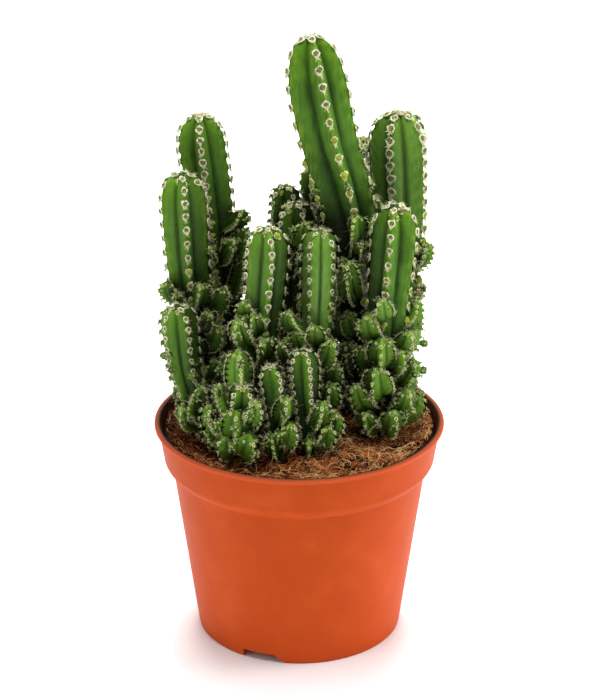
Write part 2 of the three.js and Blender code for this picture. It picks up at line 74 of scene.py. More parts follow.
MM = 0.001
TUBE_SIDES = 3
BOX_LOW, BOX_HIGH = (np.array(corner) / MM for corner in cad_box)
rng = np.random.default_rng(4211)


def fan(columns, first, tip):
    """Triangles between a closed row of points, counted from its first one, and one point at the tip."""
    here = np.arange(columns)
    return np.stack([first + here, first + (here + 1) % columns, np.full(columns, tip)], -1)


def grid_triangles(rows, columns):
    """Triangles of a grid of points in rows, where each row closes into a ring."""
    row, column = np.meshgrid(np.arange(rows - 1), np.arange(columns), indexing="ij")
    here = row * columns + column
    beside = row * columns + (column + 1) % columns
    quads = np.stack([here, beside, beside + columns, here + columns], -1).reshape(-1, 4)
    return np.concatenate([quads[:, [0, 1, 2]], quads[:, [0, 2, 3]]])


class Batch:
    """Collects many small surfaces, with values for the shader at each point, into one mesh."""

    def __init__(self):
        self.points, self.triangles, self.values, self.count = [], [], {}, 0

    def add(self, points, triangles, **values):
        points = np.asarray(points, float).reshape(-1, 3)
        self.points.append(points)
        self.triangles.append(np.asarray(triangles).reshape(-1, 3) + self.count)
        self.count += len(points)
        for name, value in values.items():
            spread = np.broadcast_to(np.asarray(value, float).ravel(), (len(points),))
            self.values.setdefault(name, []).append(spread)

    def piece(self, name, finish, slot_name):
        """Makes the object, gives it its finish and lets it ride on the model."""
        points, triangles = np.concatenate(self.points) * MM, np.concatenate(self.triangles)
        points = np.clip(points, *(np.array(corner) for corner in cad_box))
        mesh = bpy.data.meshes.new(name)
        mesh.vertices.add(len(points))
        mesh.vertices.foreach_set("co", points.ravel())
        mesh.loops.add(triangles.size)
        mesh.loops.foreach_set("vertex_index", triangles.ravel().astype(np.int32))
        mesh.polygons.add(len(triangles))
        mesh.polygons.foreach_set("loop_start", np.arange(len(triangles), dtype=np.int32) * 3)
        mesh.polygons.foreach_set("use_smooth", np.ones(len(triangles), bool))
        mesh.update(calc_edges=True)
        for key, parts in self.values.items():
            mesh.attributes.new(key, "FLOAT", "POINT").data.foreach_set("value", np.concatenate(parts))
        return settle(bpy.data.objects.new(name, mesh), finish)


def settle(thing, finish):
    """Puts a finished object into the scene, on the model's one body."""
    if thing.name not in bpy.context.scene.collection.objects:
        bpy.context.scene.collection.objects.link(thing)
    thing.data.materials.clear()
    thing.data.materials.append(finish)
    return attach(thing, "root")


def unit(vectors):
    """The same vectors with length one."""
    return vectors / np.maximum(np.linalg.norm(vectors, axis=-1, keepdims=True), 1e-9)


def smoothstep(x, low, high):
    t = np.clip((x - low) / (high - low), 0, 1)
    return t * t * (3 - 2 * t)


def tubes(paths, radii, side):
    """Thin tapering tubes. paths holds a row of points for each, radii the radius at each point, and side a
    direction across each tube."""
    count, steps = paths.shape[:2]
    along = unit(np.gradient(paths, axis=1))
    across = unit(np.cross(along, side[:, None, :]))
    other = np.cross(along, across)
    turn = 2 * np.pi * np.arange(TUBE_SIDES) / TUBE_SIDES
    ring = across[:, :, None] * np.cos(turn)[:, None] + other[:, :, None] * np.sin(turn)[:, None]
    points = paths[:, :, None] + ring * radii[:, :, None, None]
    one = grid_triangles(steps, TUBE_SIDES)
    every = one[None] + (np.arange(count) * steps * TUBE_SIDES)[:, None, None]
    return points.reshape(-1, 3), every.reshape(-1, 3)


print("a ring of 3 rows and 4 columns has", len(grid_triangles(3, 4)), "triangles")

# %% [markdown]
# ## Shader arithmetic
# A finish is a recipe: start from a green, add a paler crest, darken the foot, break it up with noise.
# Written with nodes that recipe is hard to read, so a small class wraps a socket and lets Python's own
# signs add the Math nodes. Colours are laid over one another with Mix nodes instead, because a Math node
# would turn them grey.

# %% Sockets that take part in sums
def from_screen(red, green, blue):
    """A colour picked on a screen, 0 to 255, as the light values that a shader works with."""
    shares = [v / 255 for v in (red, green, blue)]
    return [v / 12.92 if v <= 0.04045 else ((v + 0.055) / 1.055) ** 2.4 for v in shares] + [1.0]


class Amount:
    """A number that varies over a surface: the socket that gives it, and sums with it."""

    def __init__(self, finish, socket):
        self.finish, self.socket = finish, socket

    def _sum(self, operation, first, second):
        return self.finish.add("ShaderNodeMath", {"operation": operation}, {0: first, 1: second})

    def __add__(self, other):
        return self._sum("ADD", self, other)

    def __sub__(self, other):
        return self._sum("SUBTRACT", self, other)

    def __rsub__(self, other):
        return self._sum("SUBTRACT", other, self)

    def __mul__(self, other):
        return self._sum("MULTIPLY", self, other)

    def __pow__(self, other):
        return self._sum("POWER", self, other)

    __radd__, __rmul__ = __add__, __mul__

    def between(self, low, high):
        """0 at low, 1 at high, smooth in between."""
        return self.finish.add("ShaderNodeMapRange", {"interpolation_type": "SMOOTHSTEP"},
                               {"Value": self, "From Min": low, "From Max": high})


class Finish:
    """A material with one Principled shader, built up from named inputs."""

    def __init__(self, name, **constants):
        self.material = bpy.data.materials.new(name)
        self.material.use_nodes = True
        self.nodes, self.links = self.material.node_tree.nodes, self.material.node_tree.links
        self.shader = self.nodes["Principled BSDF"]
        for key, value in constants.items():
            self.shader.inputs[key.replace("_", " ").title().replace("Ior", "IOR")].default_value = value

    def fill(self, socket, value):
        if isinstance(value, Amount):
            self.links.new(value.socket, socket)
        else:
            socket.default_value = value

    def add(self, kind, settings=None, inputs=None, out=0):
        """Adds a node: its settings first, then its sockets' values or links. Returns one of its outputs."""
        node = self.nodes.new(kind)
        for key, value in (settings or {}).items():
            if key == "stops":
                while len(node.color_ramp.elements) < len(value):
                    node.color_ramp.elements.new(1.0)
                for element, (place, colour) in zip(node.color_ramp.elements, value):
                    element.position, element.color = place, colour
            else:
                setattr(node, key, value)
        for key, value in (inputs or {}).items():
            self.fill(node.inputs[key], value)
        return Amount(self, node.outputs[out])

    def value(self, name):
        """A value that the mesh carries at its points."""
        return self.add("ShaderNodeAttribute", {"attribute_name": name}, out="Fac")

    def noise(self, size, detail=3.0, tall=1.0):
        """Cloudy noise whose patches are about size millimetres across and tall times as high."""
        place = self.add("ShaderNodeTexCoord", out="Object")
        squeezed = self.add("ShaderNodeVectorMath", {"operation": "MULTIPLY"},
                            {0: place, 1: (1, 1, 1 / tall)})
        return self.add("ShaderNodeTexNoise", None, {"Vector": squeezed, "Scale": 1 / (size * MM),
                                                     "Detail": detail, "Roughness": 0.55})

    def blend(self, share, first, second):
        """Colour first where share is 0 and second where it is 1. Three numbers are a colour on a screen."""
        first, second = (from_screen(*c) if isinstance(c, tuple) else c for c in (first, second))
        return self.add("ShaderNodeMix", {"data_type": "RGBA"}, {0: share, 6: first, 7: second}, out=2)

    def layered(self, colour, layers):
        """A colour with others laid over it in turn, each with its share."""
        for share, over in layers:
            colour = self.blend(share, colour, over)
        return colour

    def bumps(self, height, depth):
        """Small relief, depth in millimetres."""
        relief = self.add("ShaderNodeBump", None, {"Height": height, "Distance": depth * MM, "Strength": 1.0})
        self.fill(self.shader.inputs["Normal"], relief)

    def finished(self, colour, roughness):
        self.fill(self.shader.inputs["Base Color"], colour)
        self.fill(self.shader.inputs["Roughness"], roughness)
        return self.material


print("nursery-pot orange in shader values:", [round(v, 3) for v in from_screen(199, 88, 36)[:3]])

# %% [markdown]
# ## The pot
# The pot is thin orange plastic: a tapered wall that turns out over a soft shoulder to a wider collar, a
# rounded lip, a foot ring with three notches that let water out, and drain holes in the floor. It could be
# a stack of primitives, but its one smooth profile is easier to draw once and spin round the axis. The
# notches and drain holes are then cut with Boolean modifiers, which keeps their edges sharp.

# %% The pot's measures, the same as in the CAD source
POT_HEIGHT = 100
RIM_RADIUS = 65
FOOT_RADIUS = 46
WALL = 1.7
SHOULDER_Z, SHOULDER_RADIUS = 78, 57
COLLAR_Z, COLLAR_RADIUS = 84, 61
LIP_Z, LIP_NECK_RADIUS = 97.8, 63.3
LIP_ROUNDING = 1
LIP_STEP = 0.7
FLOOR_Z, FLOOR_THICKNESS = 4.8, 1.8
FOOT_RING = 2.3
NOTCH_HEIGHT, NOTCH_WIDTH, NOTCH_SLOPE, NOTCH_CUT = 4, 15, 5, 12
NOTCH_ANGLES = [-113.5, 6.5, 126.5]
DRAIN_RADIUS, DRAIN_CIRCLE, DRAIN_COUNT = 3, 28, 6
SPIN_STEPS = 180


def outer_radius(z):
    """The wall's outer radius below the lip at a height z."""
    if z <= SHOULDER_Z:
        return FOOT_RADIUS + (SHOULDER_RADIUS - FOOT_RADIUS) * z / SHOULDER_Z
    if z >= COLLAR_Z:
        return COLLAR_RADIUS + (LIP_NECK_RADIUS - COLLAR_RADIUS) * (z - COLLAR_Z) / (LIP_Z - COLLAR_Z)
    t = (z - SHOULDER_Z) / (COLLAR_Z - SHOULDER_Z)
    return SHOULDER_RADIUS + (COLLAR_RADIUS - SHOULDER_RADIUS) * t * (2 - t)


def inner_radius(z):
    return outer_radius(z) - WALL


def quarter(radius, z, size, start, steps=5):
    """A rounded corner of the profile about a centre, from a compass angle on by a quarter turn."""
    turns = [math.radians(start + 90 * i / steps) for i in range(steps + 1)]
    return [(radius + size * math.cos(a), z + size * math.sin(a)) for a in turns]


def pot_profile():
    shoulder = [SHOULDER_Z + t / 10 * (COLLAR_Z - SHOULDER_Z) for t in range(11)]
    wall = [2, 10, 20, 30, 40, 50, 60, 70]
    edge = LIP_ROUNDING
    inner_lip = inner_radius(LIP_Z) + LIP_STEP
    floor_top = FLOOR_Z + FLOOR_THICKNESS
    return [
        (0, FLOOR_Z),
        (outer_radius(FLOOR_Z) - FOOT_RING, FLOOR_Z),
        (FOOT_RADIUS - FOOT_RING, 0),
        (FOOT_RADIUS - 0.5, 0),
        (FOOT_RADIUS, 0.5),
        *[(outer_radius(z), z) for z in wall + shoulder + [88, 93, LIP_Z]],
        *quarter(RIM_RADIUS - edge, LIP_Z + edge, edge, -90),
        *quarter(RIM_RADIUS - edge, POT_HEIGHT - edge, edge, 0),
        *quarter(inner_lip + 0.5, POT_HEIGHT - 0.5, 0.5, 90),
        *[(inner_radius(z), z) for z in [LIP_Z, LIP_Z - 0.5, COLLAR_Z, SHOULDER_Z, 40]],
        (inner_radius(floor_top), floor_top),
        (0, floor_top),
    ]


profile = pot_profile()
print("profile points:", len(profile), "widest at", max(r for r, _ in profile), "mm")

# %% Spin the profile and cut the foot
def spun(name, points):
    """An object from a profile of (radius, height) points spun round the Z axis."""
    shape = bmesh.new()
    row = [shape.verts.new((r * MM, 0, z * MM)) for r, z in points]
    edges = [shape.edges.new(pair) for pair in zip(row, row[1:])]
    bmesh.ops.spin(shape, geom=row + edges, cent=(0, 0, 0), axis=(0, 0, 1), angle=2 * math.pi,
                   steps=SPIN_STEPS)
    bmesh.ops.remove_doubles(shape, verts=shape.verts, dist=1e-6)
    bmesh.ops.recalc_face_normals(shape, faces=shape.faces)
    return kept(name, shape)


def kept(name, shape):
    """Turns a finished bmesh into an object."""
    mesh = bpy.data.meshes.new(name)
    shape.to_mesh(mesh)
    shape.free()
    thing = bpy.data.objects.new(name, mesh)
    bpy.context.scene.collection.objects.link(thing)
    return thing


def notch_cutter(angle):
    """A low gate with one sloping end that stands across the foot ring at a compass angle."""
    half, low = NOTCH_WIDTH / 2, -NOTCH_HEIGHT
    gate = [(-half, low), (half + 2 * NOTCH_SLOPE, low), (half, NOTCH_HEIGHT), (-half, NOTCH_HEIGHT)]
    turn = math.radians(angle + 90)
    shape = bmesh.new()
    rows = []
    for y in (-FOOT_RADIUS - NOTCH_CUT / 2, -FOOT_RADIUS + NOTCH_CUT / 2):
        row = []
        for x, z in gate:
            across = x * math.cos(turn) - y * math.sin(turn)
            away = x * math.sin(turn) + y * math.cos(turn)
            row.append(shape.verts.new((across * MM, away * MM, z * MM)))
        rows.append(row)
    shape.faces.new(rows[0])
    shape.faces.new(rows[1])
    for i in range(4):
        j = (i + 1) % 4
        shape.faces.new((rows[0][i], rows[0][j], rows[1][j], rows[1][i]))
    bmesh.ops.recalc_face_normals(shape, faces=shape.faces)
    return kept("notch", shape)


def drain_cutter(index):
    turn = 2 * math.pi * index / DRAIN_COUNT
    shape = bmesh.new()
    size = DRAIN_RADIUS * MM
    bmesh.ops.create_cone(shape, cap_ends=True, segments=32, radius1=size, radius2=size,
                          depth=3 * FLOOR_THICKNESS * MM)
    place = (DRAIN_CIRCLE * math.cos(turn) * MM, DRAIN_CIRCLE * math.sin(turn) * MM, FLOOR_Z * MM)
    bmesh.ops.translate(shape, verts=shape.verts, vec=place)
    return kept("drain", shape)


def cut(thing, cutters):
    """Takes the cutters' shapes out of an object and removes the cutters."""
    for cutter in cutters:
        step = thing.modifiers.new("cut", "BOOLEAN")
        step.operation, step.solver, step.object = "DIFFERENCE", "EXACT", cutter
    bpy.context.view_layer.update()
    view = bpy.context.evaluated_depsgraph_get()
    mesh = bpy.data.meshes.new_from_object(thing.evaluated_get(view))
    thing.modifiers.clear()
    thing.data = mesh
    for cutter in cutters:
        bpy.data.objects.remove(cutter)


def shade_smooth(thing, sharpest=35):
    """Smooth shading that keeps edges sharper than an angle in degrees."""
    shape = bmesh.new()
    shape.from_mesh(thing.data)
    for face in shape.faces:
        face.smooth = True
    for edge in shape.edges:
        edge.smooth = edge.calc_face_angle(0) < math.radians(sharpest)
    shape.to_mesh(thing.data)
    shape.free()


pot = spun("nursery_pot", profile)
cut(pot, [notch_cutter(a) for a in NOTCH_ANGLES] + [drain_cutter(i) for i in range(DRAIN_COUNT)])
shade_smooth(pot)
print("pot faces after the cuts:", len(pot.data.polygons))

# %% [markdown]
# ## The pot's plastic
# The plastic is satin orange: even, but never one flat colour. It is a little cloudy, the thin lip is painted
# paler and pinker as a painted sheen, the mould leaves very fine rings round the wall, and the lip's top is
# darker. The inner wall and the inner side of the lip are painted dark, partly as peat dusted on them and
# partly as painted shade. The height picks out the lip, stretched noise makes the rings and a value in the
# mesh marks the inner side, so the recipe needs no drawing.

# %% Satin orange plastic
# painted shade and peat dusting: how low and how far in the dark inner side reaches
DUST_AND_SHADE_LOWEST = 30
DUST_AND_SHADE_LIP_RADIUS = 63


def mark_inside(thing):
    """A value at the pot's points that is 1 on the inner wall and the inner side of the lip, which the finish
    paints dark, partly as damp peat dusted on them and partly as painted shade."""
    spots = np.array([v.co[:] for v in thing.data.vertices]) / MM
    wall = np.array([inner_radius(z) for z in spots[:, 2]])
    wall = np.where(spots[:, 2] > LIP_Z - 0.3, DUST_AND_SHADE_LIP_RADIUS, wall)
    inside = (np.hypot(spots[:, 0], spots[:, 1]) < wall + 0.3) & (spots[:, 2] > DUST_AND_SHADE_LOWEST)
    thing.data.attributes.new("inside", "FLOAT", "POINT").data.foreach_set("value", inside.astype(float))


mark_inside(pot)


def pot_plastic():
    plastic = Finish("satin_orange_plastic", specular_ior_level=0.09)
    place = plastic.add("ShaderNodeTexCoord", out="Object")
    height = plastic.add("ShaderNodeSeparateXYZ", None, {0: place}, out="Z")
    clouds = plastic.noise(22, detail=4)
    grain = plastic.noise(0.6, detail=2)
    squeezed = plastic.add("ShaderNodeVectorMath", {"operation": "MULTIPLY"}, {0: place, 1: (6, 6, 900)})
    rings = plastic.add("ShaderNodeTexNoise", None, {"Vector": squeezed, "Scale": 1.0, "Detail": 2.0})
    # painted sheen: the lip's outer edge is painted paler and pinker
    lip = height.between((LIP_Z - 1) * MM, (LIP_Z + 0.8) * MM)
    # the lip's top is painted a darker, duller orange
    lip_top = height.between((POT_HEIGHT - 0.7) * MM, (POT_HEIGHT - 0.1) * MM)
    # painted shade mixed with peat dusting on the inner wall and the lip's inner side
    dust_and_shade = plastic.value("inside") * (clouds.between(0.2, 0.6) * 0.1 + 0.88)
    wall = plastic.blend(clouds.between(0.3, 0.7), (203, 76, 20), (210, 82, 24))
    colour = plastic.layered(wall, (
        (grain.between(0.3, 0.9) * 0.35, (217, 92, 36)),
        (clouds.between(0.55, 0.75) * 0.25, (224, 104, 50)),
        (lip * 0.5, (222, 98, 58)),
        (lip_top * (clouds.between(0.2, 0.7) * 0.3 + 0.7), (152, 72, 40)),
        (dust_and_shade, (40, 27, 17)),
    ))
    plastic.bumps(rings * 0.7 + grain * 0.3, 0.05)
    return plastic.finished(colour, clouds * 0.16 + grain * 0.06 + 0.42)


settle(pot, pot_plastic())
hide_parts("pot")
pot_corners = pot.bound_box[0], pot.bound_box[6]
print("pot box in mm:", [[round(c / MM, 1) for c in corner] for corner in pot_corners])

# %% [markdown]
# ## The soil
# Under the fibres lies dark, crumbly peat that fills the pot and rises to a low mound. A flat disc would
# look like a lid, so the surface follows the same gentle waves as the CAD soil, and small random crumbs
# break it up. They lie a little higher against the wall, as they do when a pot is filled. The sides go down
# to the floor, where they show through the drain holes.

# %% The height of the soil
GAP = 0.35
SOIL_EDGE_Z = 92.5
SOIL_MOUND = 3
SOIL_RELIEF = 0.45
SOIL_FLOOR = FLOOR_Z + FLOOR_THICKNESS + GAP


def soil_top(x, y):
    """The soil's surface: a low mound with gentle waves."""
    share = np.minimum(1, np.hypot(x, y) / inner_radius(SOIL_EDGE_Z))
    wave = np.sin(0.21 * x + 0.4) * np.cos(0.17 * y) + 0.5 * np.sin(0.4 * x + 0.33 * y)
    return SOIL_EDGE_Z + SOIL_MOUND * (1 - share * share) + SOIL_RELIEF * wave * (1 - share ** 6)


print("soil in the middle at", round(float(soil_top(0, 0)), 2), "mm")

# %% A mound of peat with crumbs
FRONT_PILE, MORE_PILE = 1.2, 2.4
PEAT_COLUMNS, PEAT_RINGS = 240, 74
PEAT_MIDDLE = 0.4
CRUMBS = 2000


def pile_up(x, y):
    """Loose crumbs and fibres lie a little higher against the wall, most of all at the sides and the back."""
    share = np.hypot(x, y) / inner_radius(SOIL_EDGE_Z)
    height = FRONT_PILE + MORE_PILE * smoothstep(np.maximum(np.abs(x), y), 15, 50)
    return height * smoothstep(share, 0.78, 0.98)


def peat_rings():
    """Rings of points from the middle of the surface out to the wall and down to the pot's floor."""
    columns = PEAT_COLUMNS
    turn = 2 * np.pi * np.arange(columns) / columns
    reach = inner_radius(SOIL_EDGE_Z) - GAP
    rows = []
    for r in np.linspace(PEAT_MIDDLE, reach, PEAT_RINGS):
        x, y = r * np.cos(turn), r * np.sin(turn)
        rough = rng.normal(0, 0.42, columns) * (1 - 0.5 * (r / reach) ** 12)
        rows.append(np.stack([x, y, soil_top(x, y) - 0.5 + rough + pile_up(x, y)], -1))
    side = [(inner_radius(z) - GAP, z) for z in (COLLAR_Z, SHOULDER_Z, 40, SOIL_FLOOR)]
    for r, z in [*side, (PEAT_MIDDLE, SOIL_FLOOR)]:
        rows.append(np.stack([r * np.cos(turn), r * np.sin(turn), np.full(columns, z)], -1))
    return np.stack(rows)


def crumb_shape():
    """The points and triangles of a small ball, to be squashed into crumbs."""
    shape = bmesh.new()
    bmesh.ops.create_icosphere(shape, subdivisions=2, radius=1)
    points = np.array([v.co[:] for v in shape.verts])
    triangles = np.array([[v.index for v in f.verts] for f in shape.faces])
    shape.free()
    return points, triangles


def add_crumbs(batch):
    ball, triangles = crumb_shape()
    for _ in range(CRUMBS):
        size = rng.gamma(3.0, 0.22) + 0.25
        r = math.sqrt(rng.uniform(0, 1)) * (inner_radius(SOIL_EDGE_Z) - GAP - 1.3 * size)
        turn = rng.uniform(0, 2 * math.pi)
        x, y = r * math.cos(turn), r * math.sin(turn)
        lumps = ball * rng.uniform(0.7, 1.25, (len(ball), 1)) * rng.uniform(0.6, 1.1, 3) * size
        z = soil_top(x, y) + pile_up(x, y) - 0.3 + 0.3 * size
        batch.add(lumps + [x, y, z], triangles, shade=rng.uniform(0, 1))


peat_mesh = Batch()
mound = peat_rings()
peat_mesh.add(mound, grid_triangles(*mound.shape[:2]), shade=0.4)
add_crumbs(peat_mesh)
print("peat points:", peat_mesh.count)

# %% [markdown]
# ## Peat and coir finishes
# Peat is nearly black-brown with rusty specks. Coir fibres are thin, so a strand needs one main tint, which
# its mesh carries as a value, from dark bark brown through fox red to straw, with a little noise along it.

# %% Dark peat
def dark_peat():
    peat = Finish("dark_peat", specular_ior_level=0.06)
    coarse, fine = peat.noise(3.5, detail=5), peat.noise(0.5, detail=4)
    base = peat.blend(coarse.between(0.35, 0.7), (28, 18, 11), (58, 34, 20))
    colour = peat.layered(base, (
        (fine.between(0.55, 0.75) * 0.5, (118, 70, 44)),
        (peat.value("shade").between(0.45, 1.0) * 0.55, (92, 58, 38)),
    ))
    peat.bumps(coarse * 0.5 + fine * 0.5, 1.2)
    return peat.finished(colour, fine * 0.15 + 0.85)


soil = peat_mesh.piece("peat_soil", dark_peat(), "soil")
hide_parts("soil")

# %% Loose coir fibres
FIBRES = 9400
FIBRE_STEPS = 8
SHORTEST_FIBRE, LONGEST_FIBRE = 1.5, 12


def fibre_cover(x, y):
    """How thickly the fibres lie at a place: in mats, with bare dark peat between them."""
    mats = np.sin(0.13 * x + 1.2) * np.cos(0.16 * y + 0.5) + 0.6 * np.sin(0.29 * x - 0.4) * np.sin(0.23 * y)
    mats = mats + 0.7 * np.sin(0.62 * x + 0.5 * y) * np.sin(0.55 * y - 0.4 * x + 2)
    return (0.16 + smoothstep(mats, -0.8, 1.0)) * (0.5 + 0.5 * smoothstep(x, -52, 0))


def fibre_paths(count):
    """Strands that lie on the soil: each starts somewhere, heads somewhere and bends as it goes."""
    reach = inner_radius(SOIL_EDGE_Z) - 0.6
    start_r = np.sqrt(rng.uniform(0, 1, 3 * count)) * reach
    start_turn = rng.uniform(0, 2 * np.pi, 3 * count)
    dense = fibre_cover(start_r * np.cos(start_turn), start_r * np.sin(start_turn))
    kept_ones = np.argsort(rng.uniform(0, 1, 3 * count) / dense)[:count]
    start_r, start_turn = start_r[kept_ones], start_turn[kept_ones]
    heading = rng.uniform(0, 2 * np.pi, (count, 1))
    bend = rng.normal(0, 0.1, (count, 1)) + rng.normal(0, 0.13, (count, FIBRE_STEPS))
    length = np.clip(rng.gamma(3.0, 1.5, (count, 1)), SHORTEST_FIBRE, LONGEST_FIBRE)
    turn = heading + np.cumsum(bend, axis=1)
    step = length / (FIBRE_STEPS - 1)
    x = (start_r * np.cos(start_turn))[:, None] + np.cumsum(step * np.cos(turn), axis=1)
    y = (start_r * np.sin(start_turn))[:, None] + np.cumsum(step * np.sin(turn), axis=1)
    pull = np.minimum(1, (reach - rng.uniform(0, 2.5, (count, 1))) / np.maximum(np.hypot(x, y), 1e-6))
    x, y = x * pull, y * pull
    along = np.linspace(0, 1, FIBRE_STEPS)
    lift = rng.uniform(-0.4, 1.5, (count, 1)) + rng.uniform(-0.5, 1.8, (count, 1)) * np.sin(np.pi * along)
    heap = soil_top(x, y) + 1.2 * pile_up(x, y)
    return np.stack([x, y, heap + lift + rng.normal(0, 0.1, x.shape)], -1)


def coir():
    fibre = Finish("coir_fibre", specular_ior_level=0.15)
    tint = fibre.value("tint")
    ramp = fibre.add("ShaderNodeValToRGB", {"stops": [
        (0.0, from_screen(32, 18, 10)), (0.36, from_screen(136, 66, 30)), (0.68, from_screen(228, 136, 70)),
        (1.0, from_screen(255, 230, 164))]}, {"Fac": tint})
    colour = fibre.blend(fibre.noise(1.6, detail=2).between(0.45, 0.8) * 0.4, ramp, (84, 44, 28))
    return fibre.finished(colour, fibre.noise(2.0) * 0.2 + 0.6)


fibre_mesh = Batch()
strands = fibre_paths(FIBRES)
thickness = rng.uniform(0.06, 0.15, (FIBRES, 1)) * np.array([0.6, 1, 1, 1, 1, 1, 0.9, 0.4])
upward = np.tile([0.0, 0.0, 1.0], (FIBRES, 1))
# painted light: fibres further to the right are painted paler, where the stronger lamp falls
right_side_light = 0.16 * smoothstep(strands[:, 0, 0], -30, 30)
fibre_tint = np.repeat(np.clip(rng.beta(1.4, 1.7, FIBRES) + right_side_light, 0, 1), FIBRE_STEPS * TUBE_SIDES)
fibre_mesh.add(*tubes(strands, thickness, upward), tint=fibre_tint)
fibre_mesh.piece("coir_fibres", coir(), "soil")
print("fibres:", FIBRES, "highest at", round(float(strands[..., 2].max()), 1), "mm")

# %% [markdown]
# ## Where every stem and offset stands
# The CAD source keeps one table of stems: radius, ribs, direction of the first rib, spacing of the areoles,
# the centre line, and the tops of the larger offsets. It is repeated here, with the same rule and the same
# row of seeded draws that place the offsets, so that each finer stem grows exactly where its plain solid
# stands.

